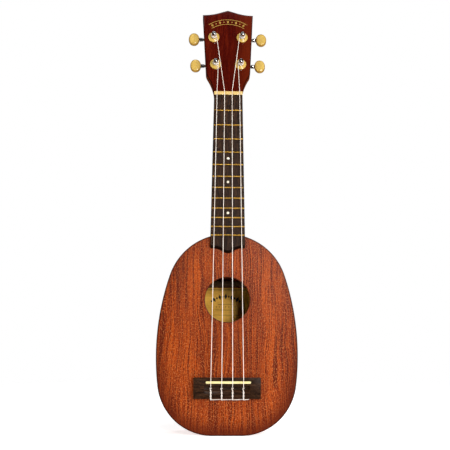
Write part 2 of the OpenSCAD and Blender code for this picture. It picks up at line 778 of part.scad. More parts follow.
module plate_screws() color(steel) for (k = [0:3], t = lug_ts) at_post(k) translate([0, t, back_h]) {
    rotate_extrude() polygon([[0, -screw_head_h], [screw_head_r * 0.6, -screw_head_h],
        [screw_head_r, -screw_head_h * 0.4], [screw_head_r, 0], [screw_shank_r, 0],
        [screw_shank_r, screw_l - 0.8], [0, screw_l]]);
}

soundboard();
back_plate();
rib_left();
rib_right();
neck_block();
tail_block();
top_lining();
back_lining();
top_brace_upper();
top_brace_lower();
back_brace_upper();
back_brace_lower();
bridge_patch();
paper_label();
neck_dowels();
neck();
heel_cap();
headstock();
head_veneer();
fingerboard();
frets();
position_dots();
nut();
bridge();
saddle();
bushings();
plate_screws();
for (k = [0:3]) {
    string(k);
    winding(k);
    post(k);
    gear(k);
    gear_screw(k);
    tuner_plate(k);
    worm(k);
    button(k);
}
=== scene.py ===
import json
from math import acos, atan2, copysign, cos, degrees, pi, radians, sin, sqrt, tan

import bmesh
import bpy
import numpy as np
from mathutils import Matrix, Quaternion, Vector


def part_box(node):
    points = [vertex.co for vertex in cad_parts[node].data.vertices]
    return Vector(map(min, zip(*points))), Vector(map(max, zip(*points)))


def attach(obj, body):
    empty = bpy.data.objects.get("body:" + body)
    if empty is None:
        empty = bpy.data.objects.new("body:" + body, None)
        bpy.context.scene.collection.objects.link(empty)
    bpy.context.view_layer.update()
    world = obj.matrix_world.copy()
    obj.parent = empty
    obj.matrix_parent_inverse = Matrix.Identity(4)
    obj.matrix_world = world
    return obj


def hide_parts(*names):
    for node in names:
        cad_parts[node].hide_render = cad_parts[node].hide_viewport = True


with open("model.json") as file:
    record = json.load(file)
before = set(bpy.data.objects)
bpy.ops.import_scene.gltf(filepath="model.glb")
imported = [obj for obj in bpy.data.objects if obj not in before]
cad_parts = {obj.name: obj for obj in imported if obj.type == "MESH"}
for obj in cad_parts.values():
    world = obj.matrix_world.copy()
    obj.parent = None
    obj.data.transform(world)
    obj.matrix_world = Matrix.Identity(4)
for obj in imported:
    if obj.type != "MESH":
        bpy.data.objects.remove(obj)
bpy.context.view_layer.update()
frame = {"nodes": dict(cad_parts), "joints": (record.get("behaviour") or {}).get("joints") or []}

# Soprano ukulele. Shapes are worked out in millimetres, in the row frame, and turned into metres
# when a mesh is made: x across, y into the body from the soundboard's face, z up the neck.
MM = 0.001
MERGE_M = 2e-6
SHARP = 32
STRINGS = ["g", "c", "e", "a"]


def span(node):
    """Lowest and highest corners of a CAD node, in millimetres."""
    low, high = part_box(node)
    return np.array(low) / MM, np.array(high) / MM


# ---- Dimensions, from the frame where it holds them ----

TOP_LOW, TOP_HIGH = span("soundboard")
BODY_TOP, BODY_BOTTOM = TOP_HIGH[2], TOP_LOW[2]
PLATE_T = TOP_HIGH[1]
BODY_D = span("back_plate")[1][1]
RIB_T = 2.0
SHOULDER_R, SIDE_R, CORNER_R = 73.1, 300.0, 66.2
TAIL_FLAT = 34.0
HOLE_R, HOLE_Z = 26.8, -250.7

HEAD_TILT = radians(12)
HEAD_ORIGIN = np.array([0, -1, 4.6])
HEAD_ALONG = np.array([0, sin(HEAD_TILT), cos(HEAD_TILT)])
HEAD_OUT = np.array([0, -cos(HEAD_TILT), sin(HEAD_TILT)])
HEAD_T, VENEER_T = 13.0, 1.5
HEAD_WAIST = 17.7

NUT_HALF = 17.45
BOARD_T = -span("fingerboard")[0][1]
BOARD_END_HALF = 21.1
BOARD_LEN, BOARD_TOE = 186.0, 2.8
SCALE_LEN = 346.0
FRET_COUNT = 12

BRIDGE_BACK_Z = span("bridge")[0][2]
TIE_FRONT_Z, TIE_TOP_Y = -356.4, -6.7
TIE_HOLE_Y = -3.9
SADDLE_Z, SADDLE_TOP_Y = -348.2, span("saddle")[0][1]
SADDLE_SEAT_Y = -3.6
STRING_R, OPEN_R = 0.35, 0.38
NUT_SPREAD, SADDLE_SPREAD = 27.8, 38.8

POST_R, POST_TOP = 2.8, 11.5
HOLE_H = 8.4
PLATE_BACK = -HEAD_T - 1.0
GEAR_R, WORM_R = 4.2, 2.2
WORM_T = GEAR_R + WORM_R
SEAT_BACK = -18.55
WORM_LEAD = pi * 0.6
WORM_H = -17.0


def head(x, t, h):
    """Points of the headstock: x across, t up its face, h out of its face."""
    x, t, h = np.broadcast_arrays(np.asarray(x, float), t, h)
    return (HEAD_ORIGIN + x[..., None] * [1, 0, 0] + t[..., None] * HEAD_ALONG
            + h[..., None] * HEAD_OUT)


def post_place(s):
    """(x, t) of a tuning post, from its joint."""
    joint = [j for j in frame["joints"] if j["name"] == "post_turn_" + s][0]
    pos = np.array(joint["pos_m"]) / MM - HEAD_ORIGIN
    return pos[0], pos @ HEAD_ALONG


def tuners():
    """(string's name, side of the headstock, x, t) of each tuning post."""
    return [(s, side, *post_place(s)) for s, side in zip(STRINGS, (-1, -1, 1, 1))]


# ---- Small curve and mesh helpers ----

def smooth(v):
    c = np.clip(v, 0, 1)
    return c * c * (3 - 2 * c)


def mix(a, b, f):
    return a + (b - a) * f


def arc(centre, radius, a0, a1, n):
    """An arc in a plan; degrees from the second axis towards the first."""
    a = angles(a0, a1, n + 1)
    return np.stack([centre[0] + radius * np.sin(a), centre[1] + radius * np.cos(a)], 1)


def angles(a0, a1, n):
    """n angles in radians, from a0 to a1 degrees."""
    return np.radians(np.linspace(a0, a1, n))


def circle(n):
    """Angles of n equal steps round a turn."""
    return np.linspace(0, 2 * np.pi, n, endpoint=False)


def bend(points, a0, a1, radius, steps):
    """Carries a path on round a bend; headings in degrees from the second axis."""
    (x, y), turn = points[-1], copysign(radius, a1 - a0)
    s0, c0 = sin(radians(a0)), cos(radians(a0))
    for a in angles(a0, a1, steps + 1)[1:]:
        points.append((x + turn * (c0 - cos(a)), y + turn * (sin(a) - s0)))


def both_sides(half):
    """A closed outline from its +x half."""
    return np.concatenate([half, (half * [-1, 1])[-2:0:-1]])


def inset(outline, d):
    """A closed outline moved inwards by d, with mitred corners."""
    x, y = outline.T
    turn = np.sign(np.sum(x * np.roll(y, -1) - np.roll(x, -1) * y))
    ahead = np.roll(outline, -1, 0) - outline
    ahead /= np.linalg.norm(ahead, axis=1)[:, None]
    out_n = turn * np.stack([-ahead[:, 1], ahead[:, 0]], 1)
    in_n = np.roll(out_n, 1, 0)
    cosine = np.sum(out_n * in_n, 1)
    return outline + d * (out_n + in_n) / (1 + np.maximum(cosine, -0.6))[:, None]


def catmull(points, per=6):
    """A smooth path through control points."""
    p = np.asarray(points, float)
    p = np.vstack([2 * p[0] - p[1], p, 2 * p[-1] - p[-2]])
    out = []
    for a, b, c, d in zip(p, p[1:], p[2:], p[3:]):
        for t in np.arange(per) / per:
            out.append(0.5 * (2 * b + (c - a) * t + (2 * a - 5 * b + 4 * c - d) * t * t
                              + (3 * b - a - 3 * c + d) * t ** 3))
    return np.array(out + [p[-2]])


def rounded_edge(r, steps=6):
    """(inset, depth below the face) round a quarter circle, from the side to the face."""
    return [(r * (1 - cos(u)), r * (1 - sin(u))) for u in angles(0, 90, steps + 1)]


def rim_profile(low, high, r_low, r_high, steps=5):
    """(inset, height) pairs up the side of a plate whose two rims are rounded."""
    return ([(r_low + 0.5, low)]
            + [(d, low + g) for d, g in reversed(rounded_edge(r_low, steps))]
            + [(d, high - g) for d, g in rounded_edge(r_high, steps)]
            + [(r_high + 0.5, high)])


def new_object(name, points, faces, values=None, sharp=SHARP):
    """A mesh object from millimetre points; values are named point attributes."""
    mesh = bpy.data.meshes.new(name)
    mesh.from_pydata((np.asarray(points) * MM).tolist(), [], faces)
    for key, data in (values or {}).items():
        data = np.asarray(data, np.float32)
        kind, field = ("FLOAT_VECTOR", "vector") if data.ndim == 2 else ("FLOAT", "value")
        mesh.attributes.new(key, kind, "POINT").data.foreach_set(field, data.ravel())
    obj = bpy.data.objects.new(name, mesh)
    bpy.context.scene.collection.objects.link(obj)
    tidy_mesh(obj, sharp)
    return obj


def shade_mesh(obj, sharp=SHARP):
    """Shades smooth up to an angle in degrees."""
    obj.data.shade_smooth()
    obj.data.set_sharp_from_angle(angle=radians(sharp))


def tidy_mesh(obj, sharp=SHARP):
    """Merges doubles, turns the faces outwards, and shades the mesh."""
    work = bmesh.new()
    work.from_mesh(obj.data)
    bmesh.ops.remove_doubles(work, verts=work.verts, dist=MERGE_M)
    bmesh.ops.dissolve_degenerate(work, edges=work.edges, dist=MERGE_M / 2)
    bmesh.ops.recalc_face_normals(work, faces=work.faces)
    work.to_mesh(obj.data)
    work.free()
    shade_mesh(obj, sharp)


def grid_faces(rows, cols, close_rows=False, start=0):
    """Faces between neighbouring rings of points."""
    faces = []
    for r in range(rows if close_rows else rows - 1):
        below = (r + 1) % rows * cols
        for c in range(cols):
            right = (c + 1) % cols
            corners = (r * cols + c, r * cols + right, below + right, below + c)
            faces.append(tuple(start + i for i in corners))
    return faces


def ring_stack(rings, start=0):
    """Points and faces of a skin over rings, capped at both ends."""
    rings = np.asarray(rings, float)
    rows, cols = rings.shape[:2]
    caps = [tuple(range(i, i + cols)) for i in (start, start + (rows - 1) * cols)]
    return rings.reshape(-1, 3), grid_faces(rows, cols, start=start) + caps


def skin(name, rings, edge=None, grain=None, sharp=SHARP):
    """An object skinned over rings; given edge distances, it also holds a grain."""
    points, faces = ring_stack(rings)
    values = {} if edge is None else {"grain": points if grain is None else grain,
                                      "edge": np.broadcast_to(edge, len(points))}
    return new_object(name, points, faces, values, sharp)


class Heap:
    """Several skins gathered into one mesh."""

    def __init__(self):
        self.points, self.faces, self.edges = [], [], []

    def add(self, rings, edge=1.0):
        points, faces = ring_stack(rings, sum(map(len, self.points)))
        self.points.append(points)
        self.faces += faces
        self.edges.append(np.broadcast_to(edge, len(points)))

    def build(self, name, sharp=SHARP):
        values = {"edge": np.concatenate(self.edges)}
        return new_object(name, np.concatenate(self.points), self.faces, values, sharp)


def plate_rings(outline, low, high, r_low, r_high, place, steps=5):
    """Rings of a plate over a closed outline, and each point's inset."""
    pairs = rim_profile(low, high, r_low, r_high, steps)
    rings = [place(*inset(outline, d).T, h) for d, h in pairs]
    return np.array(rings), np.repeat([d for d, _ in pairs], len(outline))


def in_body(u, v, h):
    """Places a plan (x, z) at height h out of the soundboard."""
    return np.stack(np.broadcast_arrays(u, -h, v), -1)


def sweep(path, radius, sides=10):
    """Rings of a round cord along a path, with rounded ends."""
    radii = np.broadcast_to(radius, len(path))
    tangents = np.gradient(path, axis=0)
    tangents /= np.linalg.norm(tangents, axis=1)[:, None]
    normal = np.cross(tangents[0], [0.3, 0.5, 0.8])
    angle = circle(sides)[:, None]
    rings = []
    for point, t, r in zip(path, tangents, radii):
        normal = normal - (normal @ t) * t
        normal /= np.linalg.norm(normal)
        side = np.cross(t, normal)
        rings.append(point + r * (np.cos(angle) * normal + np.sin(angle) * side))

    def cap(i, sign, steps):
        return [path[i] + (rings[i] - path[i]) * cos(u)
                + sign * tangents[i] * radii[i] * sin(u) for u in np.radians(steps)]

    return np.array(cap(0, -1, (80, 50, 25)) + rings + cap(-1, 1, (25, 50, 80)))


def turned_rings(profile, axis, sides=48):
    """Rings of a turned piece; profile holds (distance along, radius)."""
    angle = circle(sides)
    return np.array([axis(r * np.cos(angle), r * np.sin(angle), s) for s, r in profile])


def at_post(s, dt=0.0, dh=0.0):
    """Places a piece turned about an axis square to the headstock's face."""
    x, t = post_place(s)
    return lambda p, q, out: head(x + p, t + dt + q, out + dh)


def rod(place, radius, low, high, sides=32):
    return skin("tool", turned_rings([(low, radius), (high, radius)], place, sides))


def cut(obj, *tools):
    """Cuts closed tools out of a piece and bakes the result into its mesh."""
    for tool in tools:
        modifier = obj.modifiers.new("cut", "BOOLEAN")
        modifier.operation = "DIFFERENCE"
        modifier.solver = "EXACT"
        modifier.object = tool
    depsgraph = bpy.context.evaluated_depsgraph_get()
    mesh = bpy.data.meshes.new_from_object(obj.evaluated_get(depsgraph))
    obj.modifiers.clear()
    obj.data = mesh
    tidy_mesh(obj)
    for tool in tools:
        bpy.data.objects.remove(tool)


def join(obj, other):
    work = bmesh.new()
    work.from_mesh(obj.data)
    work.from_mesh(other.data)
    work.to_mesh(obj.data)
    work.free()
    bpy.data.objects.remove(other)
    shade_mesh(obj)


def restamp(obj, outline, flatten):
    """Sets a cut plate's grain and edge again from its points."""
    flat = flatten(np.array([v.co for v in obj.data.vertices]) / MM)
    ahead = np.roll(outline, -1, 0) - outline
    gap = flat[:, None, [0, 2]] - outline
    f = np.clip(np.sum(gap * ahead, 2) / np.sum(ahead * ahead, 1), 0, 1)
    edge = np.linalg.norm(gap - f[..., None] * ahead, axis=2).min(1)
    obj.data.attributes["grain"].data.foreach_set("vector", flat.astype(np.float32).ravel())
    obj.data.attributes["edge"].data.foreach_set("value", edge.astype(np.float32))


def finish(obj, material, nodes=(), body="instrument"):
    """Gives a piece its material and body, and hides the CAD nodes it replaces."""
    obj.data.materials.clear()
    obj.data.materials.append(material)
    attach(obj, body)
    if nodes:
        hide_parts(*nodes)


# ---- Camera and studio ----

TARGET = Vector((0, -0.006, -0.1615))
CAMERA_DISTANCE = 1.0
CAMERA_AZIMUTH, CAMERA_ELEVATION = radians(-2), radians(-6)
CAMERA_ROLL = radians(0.25)
FOCAL_RATIO = 0.8283
SENSOR = 36.0
WARM = (1, 0.98, 0.95)
FRAME_W = 450


def towards(azimuth, elevation):
    """Unit vector towards a viewer or light; azimuth 0 is in front."""
    return Vector((sin(azimuth) * cos(elevation),
                   -cos(azimuth) * cos(elevation), sin(elevation)))


def make_camera():
    data = bpy.data.cameras.new("camera")
    data.sensor_width = SENSOR
    data.lens = FOCAL_RATIO * 1000 / FRAME_W * SENSOR
    data.shift_x = -2.8 / FRAME_W
    data.shift_y = 0.5 / FRAME_W
    camera = bpy.data.objects.new("camera", data)
    view = towards(CAMERA_AZIMUTH, CAMERA_ELEVATION)
    camera.location = TARGET + CAMERA_DISTANCE * view
    aim = (-view).to_track_quat("-Z", "Y") @ Quaternion((0, 0, 1), CAMERA_ROLL)
    camera.rotation_euler = aim.to_euler()
    bpy.context.scene.collection.objects.link(camera)
    bpy.context.scene.camera = camera


def area_light(name, azimuth, elevation, distance, size, power, colour=(1, 1, 1), glossy=True):
    """A softbox; one that isn't glossy gives no reflections."""
    data = bpy.data.lights.new(name, "AREA")
    data.shape = "RECTANGLE"
    data.size, data.size_y = size
    data.energy = power
    data.color = colour
    light = bpy.data.objects.new(name, data)
    direction = towards(radians(azimuth), radians(elevation))
    light.location = TARGET + distance * direction
    light.rotation_euler = (-direction).to_track_quat("-Z", "Y").to_euler()
    light.visible_glossy = glossy
    bpy.context.scene.collection.objects.link(light)


def make_studio():
    area_light("key", 18, 9, 1.7, (0.42, 0.5), 21, WARM)
    area_light("side", 42, 10, 1.7, (0.25, 0.9), 12, WARM, glossy=False)
    area_light("fill", -46, 8, 1.7, (0.3, 0.8), 11, glossy=False)
    area_light("crown", 15, 72, 1.6, (0.6, 0.4), 8, glossy=False)
    area_light("glint", -5, 58, 1.6, (0.8, 0.3), 1.1)
    area_light("back_soft", 150, 25, 1.9, (0.8, 1.0), 14, glossy=False)
    world = bpy.data.worlds.new("studio")
    bpy.context.scene.world = world
    world.use_nodes = True
    nodes, links = world.node_tree.nodes, world.node_tree.links
    facing = nodes.new("ShaderNodeVectorMath")
    facing.operation = "DOT_PRODUCT"
    facing.inputs[1].default_value = (0, 0.6, -0.8)
    links.new(nodes.new("ShaderNodeTexCoord").outputs["Generated"], facing.inputs[0])
    ramp = nodes.new("ShaderNodeValToRGB")
    ramp.color_ramp.interpolation = "EASE"
    stops = ((0.6, (0.025, 0.022, 0.02, 1)), (0.9, (0.38, 0.38, 0.38, 1)))
    for element, (place, colour) in zip(ramp.color_ramp.elements, stops):
        element.position = place
        element.color = colour
    links.new(facing.outputs["Value"], ramp.inputs[0])
    links.new(ramp.outputs[0], nodes["Background"].inputs["Color"])


def make_floor():
    """A pale floor at the tail, which fades into a white surround."""
    radii, fade, far_r, sides = (900, 300, 60), (330, 860), 5000, 96
    a = circle(sides)
    rings = np.array([[np.cos(a) * r, BODY_D / 2 + r * np.sin(a), 0 * a + BODY_BOTTOM]
                      for r in radii]).transpose(0, 2, 1)
    faces = grid_faces(3, sides) + [tuple(range(2 * sides, 3 * sides))]
    floor = new_object("floor", rings.reshape(-1, 3), faces)
    g = Graph("floor_paper", {"Roughness": 0.9, SPECULAR: 0.1,
                              "Emission Color": (1, 1, 1, 1), "Emission Strength": 0.7})
    p = g.local()
    g.tint(g.noise(p, 0.5, 2), (0.3, (0.9, 0.9, 0.9)), (0.7, (0.94, 0.94, 0.935)))
    far = g.add("VectorMath", {0: g.add("Mapping", {0: p, 1: (0, -BODY_D / 2, -BODY_BOTTOM)})},
                out=1, operation="LENGTH")
    g.link("Alpha", g.remap(far, *fade, 1, 0, soft=True))
    floor.data.materials.append(g.material)
    floor.visible_glossy = False

    surround = skin("surround", [[far_r * towards(a, e) for a in circle(48)]
                                 for e in angles(-89, 89, 24)])
    g = Graph("surround_white", {"Base Color": (0, 0, 0, 1), SPECULAR: 0,
                                 "Emission Color": (1, 1, 1, 1), "Emission Strength": 1.0})
    surround.data.materials.append(g.material)
    for kind in ("diffuse", "glossy", "transmission", "volume_scatter", "shadow"):
        setattr(surround, "visible_" + kind, False)


# ---- Materials ----

class Graph:
    """Builds one material: most methods add nodes and give back an output socket."""

    def __init__(self, name, settings):
        self.material = bpy.data.materials.new(name)
        self.material.use_nodes = True
        self.tree = self.material.node_tree
        self.shader = self.tree.nodes["Principled BSDF"]
        for key, value in settings.items():
            self.shader.inputs[key].default_value = value

    def add(self, kind, inputs=None, out=0, **props):
        node = self.tree.nodes.new("ShaderNode" + kind)
        for key, value in props.items():
            setattr(node, key, value)
        for key, value in (inputs or {}).items():
            if isinstance(value, bpy.types.NodeSocket):
                self.tree.links.new(value, node.inputs[key])
            else:
                node.inputs[key].default_value = value
        return node.outputs[out]

    def link(self, socket, value):
        self.tree.links.new(value, self.shader.inputs[socket])

    def local(self):
        """Object coordinates in millimetres."""
        return self.add("VectorMath", {0: self.add("TexCoord", out=3), 3: 1 / MM},
                        operation="SCALE")

    def grain(self):
        """Stored coordinates in millimetres: across the grain, through the wood, along it."""
        return self.add("Attribute", out=1, attribute_name="grain")

    def edge(self):
        """Stored distance from the edge, in millimetres."""
        return self.add("Attribute", out=2, attribute_name="edge")

    def shift(self, p, offset):
        return self.add("VectorMath", {0: p, 1: offset}, operation="ADD")

    def noise(self, p, scale, detail=2.0, rough=0.5, distortion=0.0):
        """Noise with a scale for all three axes or for each."""
        q = self.add("VectorMath", {0: p, 1: np.full(3, scale, float)}, operation="MULTIPLY")
        return self.add("TexNoise", {"Vector": q, "Scale": 1.0, "Detail": detail,
                                     "Roughness": rough, "Distortion": distortion})

    def math(self, operation, a, b):
        return self.add("Math", {0: a, 1: b}, operation=operation)

    def blend_sum(self, *pairs):
        total = self.math("MULTIPLY", *pairs[0])
        for pair in pairs[1:]:
            total = self.math("ADD", total, self.math("MULTIPLY", *pair))
        return total

    def remap(self, value, low, high, to_low=0.0, to_high=1.0, soft=False):
        return self.add("MapRange", {0: value, 1: low, 2: high, 3: to_low, 4: to_high},
                        interpolation_type="SMOOTHSTEP" if soft else "LINEAR")

    def ramp(self, value, stops):
        socket = self.add("ValToRGB", {0: value})
        elements = socket.node.color_ramp.elements
        while len(elements) < len(stops):
            elements.new(0.5)
        for element, (place, colour) in zip(elements, stops):
            element.position = place
            element.color = (*colour, 1)
        return socket

    def tint(self, value, *stops):
        self.link("Base Color", self.ramp(value, stops))

    def polish(self, value, low, high, rough):
        self.link("Roughness", self.remap(value, low, high, *rough))

    def blend(self, factor, a, b):
        values = {0: factor}
        for key, value in ((6, a), (7, b)):
            values[key] = value if isinstance(value, bpy.types.NodeSocket) else (*value, 1)
        return self.add("Mix", values, out=2, data_type="RGBA")

    def bump(self, height, depth, strength=1.0):
        """Depth is in millimetres."""
        self.link("Normal", self.add("Bump", {"Strength": strength, "Distance": depth * MM,
                                              "Height": height}))


SPECULAR = "Specular IOR Level"
NO_EDGE = ((0, 0, 0), 1, 0, 0, 1)
EVERYWHERE = (1000, 2000)


def wood(name, dark, mid, light, fleck, settings, *, band=11.0, streak=1.5, long=13.0,
         pores=0.55, flecks=0.4, spread=0.09, rough=(0.28, 0.36), depth=0.05, painted_edge_shade=NO_EDGE,
         painted_tail_shade=NO_EDGE, painted_side_light=None, place="grain", seed=0.0):
    """Wood with slow bands, fine streaks, open pores and bright flecks along its grain.

    The edge shade and the tail shade are painted shade, darker near the edges, the second stronger
    towards the tail;
    each holds (tint, reach, amount, low, high). The side light is painted light, a lighter side
    standing in for a lamp's sheen, and holds (tint, left, right, amount).
    """
    g = Graph(name, settings)
    p = g.grain() if place == "grain" else g.local()
    if place == "across":
        p = g.add("VectorRotate", {"Vector": p, "Angle": pi / 2}, rotation_type="Y_AXIS")
    p = g.shift(p, (seed, seed * 0.7, seed * 3))
    wander = g.noise(p, (0.02, 0.02, 0.008), 2)
    q = g.shift(p, g.add("CombineXYZ", {0: g.remap(wander, 0.3, 0.7, -5, 5)}))

    def along(size, stretch):
        return 1 / size, 1 / size, 1 / (size * stretch)

    bands = g.noise(q, along(band, long), 3, 0.55)
    streaks = g.noise(q, along(streak, long), 2, 0.6)
    fibres = g.noise(q, along(streak * 0.45, long * 0.35), 3, 0.65)
    tone = g.blend_sum((bands, 0.2), (streaks, 0.55), (fibres, 0.25))
    colour = g.ramp(tone, [(0.5 - spread, dark), (0.5, mid), (0.5 + spread, light)])
    dots = g.noise(q, along(0.95, 1.7), 2, 0.6)
    colour = g.blend(g.remap(dots, 0.53, 0.61, 0, flecks), colour, fleck)
    slots = g.noise(g.shift(q, (37.0, 11.0, 5.0)), along(0.85, 4.0), 2, 0.6)
    deep = g.remap(slots, 0.52, 0.61, 0, pores)
    colour = g.blend(deep, colour, tuple(0.35 * c for c in dark))
    # Painted light: a lighter tint across one side stands in for a lamp's sheen.
    if painted_side_light:
        tint, left, right, amount = painted_side_light
        side = g.remap(g.add("SeparateXYZ", {0: g.grain()}), left, right, 0, amount, soft=True)
        colour = g.blend(side, colour, tint)
    # Painted shade: darker tints near the edges, the second stronger towards the tail.
    for tint, reach, amount, low, high in (painted_tail_shade, painted_edge_shade):
        if amount:
            painted_shade_mask = g.remap(g.edge(), 0.1, reach, amount, 0, soft=True)
            height = g.add("SeparateXYZ", {0: g.grain()}, out=2)
            painted_shade_mask = g.math("MULTIPLY", painted_shade_mask, g.remap(height, low, high, 1, 0.3))
            colour = g.blend(painted_shade_mask, colour, tint)
    g.link("Base Color", colour)
    g.polish(fibres, 0.3, 0.7, rough)
    g.bump(g.math("SUBTRACT", g.math("MULTIPLY", fibres, 0.5), deep), depth, 0.8)
    return g.material


def mahogany_top():
    return wood("mahogany_satin", (0.075, 0.0056, 0.0003), (0.181, 0.0185, 0.0008),
                (0.315, 0.048, 0.0022), (0.38, 0.12, 0.034), {SPECULAR: 0.1},
                band=9, streak=1.5, long=60, pores=0.6, flecks=0.85, spread=0.05,
                # Painted shade: the body's edges and the sound hole's rim are darkened, more broadly
                # towards the tail.
                painted_edge_shade=((0.022, 0.0035, 0.001), 2.3, 0.95, *EVERYWHERE),
                painted_tail_shade=((0.065, 0.006, 0.0006), 24, 0.85, -365, -290))


def neck_wood():
    return wood("neck_mahogany", (0.1, 0.012, 0.003), (0.17, 0.026, 0.005),
                (0.25, 0.05, 0.01), (0.3, 0.1, 0.05),
                {SPECULAR: 0.06},
                streak=1.3, flecks=0.2, rough=(0.42, 0.52), seed=41)


def head_gloss():
    return wood("head_lacquer", (0.034, 0.0008, 0.0002), (0.053, 0.0017, 0.0003),
                (0.09, 0.0062, 0.001), (0.13, 0.016, 0.003),
                {SPECULAR: 0.03, "Coat Weight": 1.0, "Coat Roughness": 0.05},
                band=16, streak=2.4, pores=0.15, flecks=0.12, spread=0.13, rough=(0.3, 0.36),
                # Painted shade darkens the face's edges; painted light lightens its right side in
                # place of a lamp's sheen.
                depth=0.012, painted_edge_shade=((0.01, 0.001, 0.0004), 1.9, 0.85, *EVERYWHERE),
                painted_side_light=((0.115, 0.0125, 0.0022), 4, 27, 0.6), seed=23)


def rosewood(name, place, seed, level=1.0, painted_edge_shade=NO_EDGE):
    tones = ((0.01, 0.0034, 0.0012), (0.027, 0.0105, 0.0042), (0.056, 0.024, 0.01),
             (0.08, 0.044, 0.022))
    tones = [tuple(level * c for c in tone) for tone in tones]
    return wood(name, *tones, {SPECULAR: 0.08},
                band=7, streak=1.1, long=22, pores=0.7, flecks=0.15, rough=(0.32, 0.42),
                depth=0.07, painted_edge_shade=painted_edge_shade, place=place, seed=seed)


def bare_wood(name, place="local", seed=0.0):
    return wood(name, (0.42, 0.27, 0.13), (0.56, 0.38, 0.2), (0.66, 0.48, 0.28),
                (0.72, 0.56, 0.36), {SPECULAR: 0.2},
                band=6, streak=1.0, pores=0.15, flecks=0.1, rough=(0.6, 0.8), place=place,
                seed=seed)


# Bare mahogany darkened past its own tone as painted shade, for the back braces inside the body.
def bare_mahogany_painted_shade():
    return wood("bare_mahogany_painted_shade", (0.065, 0.03, 0.011), (0.1, 0.048, 0.018),
                (0.14, 0.072, 0.03), (0.2, 0.12, 0.06), {SPECULAR: 0.2},
                band=9, pores=0.4, flecks=0.15, rough=(0.6, 0.8), place="across", seed=7)


def plastic(name, low, high, painted_edge_shade, settings, rough=(0.2, 0.3), depth=0.01):
    """Moulded plastic: faint clouds, a rim tinted darker as painted shade, and fine handling marks.
    """
    g = Graph(name, settings)
    p = g.local()
    clouds = g.noise(p, 0.16, 3, 0.6)
    grit = g.noise(p, 2.6, 2, 0.6)
    tone = g.blend_sum((clouds, 0.75), (grit, 0.25))
    # Painted shade: the colour darkens within a millimetre of the edges.
    painted_shade_mask = g.remap(g.edge(), 0.0, 1.0, 1, 0, soft=True)
    g.link("Base Color", g.blend(painted_shade_mask, g.ramp(tone, [(0.35, low), (0.65, high)]), painted_edge_shade))
    g.polish(g.noise(p, (0.7, 0.7, 5.0), 3, 0.6), 0.35, 0.7, rough)
    g.bump(grit, depth)
    return g.material


def metal(name, low, high, rough, scratch, depth=0.004):
    """Metal with fine scratches, small stains and worn patches."""
    g = Graph(name, {"Metallic": 1.0})
    p = g.local()
    stain = g.noise(p, 0.22, 4, 0.65)
    g.tint(stain, (0.32, low), (0.62, high))
    lines = g.noise(p, scratch, 3, 0.7)
    g.polish(g.math("MULTIPLY", stain, lines), 0.12, 0.4, rough)
    g.bump(lines, depth, 0.5)
    return g.material


def milky(weight, scale):
    """Settings for light that scatters about a millimetre inside."""
    return {"Subsurface Weight": weight, "Subsurface Radius": (0.001, 0.001, 0.001),
            "Subsurface Scale": scale}


def nylon():
    g = Graph("nylon", {SPECULAR: 0.5, **milky(0.25, 0.5)})
    p = g.local()
    cloud = g.noise(p, (0.5, 0.5, 0.06), 3, 0.6)
    g.tint(cloud, (0.35, (0.72, 0.62, 0.54)), (0.65, (0.9, 0.84, 0.78)))
    g.polish(g.noise(p, 3, 2), 0.3, 0.7, (0.22, 0.38))
    g.bump(cloud, 0.01)
    return g.material


def label_paper():
    """Gold paper with a faint laid texture and foxing."""
    g = Graph("gold_paper", {SPECULAR: 0.15})
    p = g.local()
    laid = g.noise(p, (0.12, 1, 2.4), 3, 0.6)
    fox = g.noise(p, 0.09, 4, 0.6)
    g.tint(g.blend_sum((laid, 0.4), (fox, 0.6)), (0.36, (0.5, 0.25, 0.024)),
           (0.5, (0.68, 0.36, 0.04)), (0.64, (0.82, 0.46, 0.06)))
    g.polish(laid, 0.3, 0.7, (0.35, 0.5))
    g.bump(laid, 0.02)
    return g.material


def print_ink(name, low, high, rough, shine):
    """A printed or foil mark, slightly uneven."""
    g = Graph(name, {SPECULAR: shine})
    wear = g.noise(g.local(), 1.2, 3, 0.7)
    g.tint(wear, (0.4, low), (0.6, high))
    g.polish(wear, 0.3, 0.7, rough)
    g.bump(wear, 0.01)
    return g.material


def pearl():
    g = Graph("pearl_dot", {SPECULAR: 0.6, "Coat Weight": 0.4})
    swirl = g.noise(g.local(), (0.9, 0.9, 0.5), 3, 0.6, 1.5)
    g.tint(swirl, (0.35, (0.58, 0.52, 0.4)), (0.65, (0.78, 0.73, 0.6)))
    g.polish(swirl, 0.3, 0.7, (0.12, 0.25))
    g.bump(swirl, 0.01)
    return g.material


# ---- Body ----

def body_arcs():
    """The outline's arc centres, and the angles where they meet."""
    shoulder = np.array([0, BODY_TOP - SHOULDER_R])
    corner = np.array([TAIL_FLAT / 2, BODY_BOTTOM + CORNER_R])
    gap = np.linalg.norm(corner - shoulder)
    reach_a, reach_b = SIDE_R - SHOULDER_R, SIDE_R - CORNER_R
    along = (reach_a ** 2 - reach_b ** 2 + gap ** 2) / (2 * gap)
    across = sqrt(reach_a ** 2 - along ** 2)
    step = (corner - shoulder) / gap
    side = shoulder + along * step + across * np.array([step[1], -step[0]])
    ends = [degrees(atan2(*(c - side))) for c in (shoulder, corner)]
    return shoulder, side, corner, ends


def body_half(off):
    """The outline's right side (x, z), moved inwards by off."""
    shoulder, side, corner, (a, b) = body_arcs()
    flat = [[x, BODY_BOTTOM + off] for x in (11, 5.5, 0)]
    return np.concatenate([arc(shoulder, SHOULDER_R - off, 0, a, 44),
                           arc(side, SIDE_R - off, a, b, 22)[1:],
                           arc(corner, CORNER_R - off, b, 180, 44)[1:], flat])


def body_ring(off, y):
    """The body's outline at depth y, moved inwards by off."""
    return in_body(*both_sides(body_half(off)).T, -y)


PLATE_RIM = 1.3
INNER_OFFS = [1.8, 2.6, 4, 7, 11, 16, 22, 30]
FAR_IN = 30


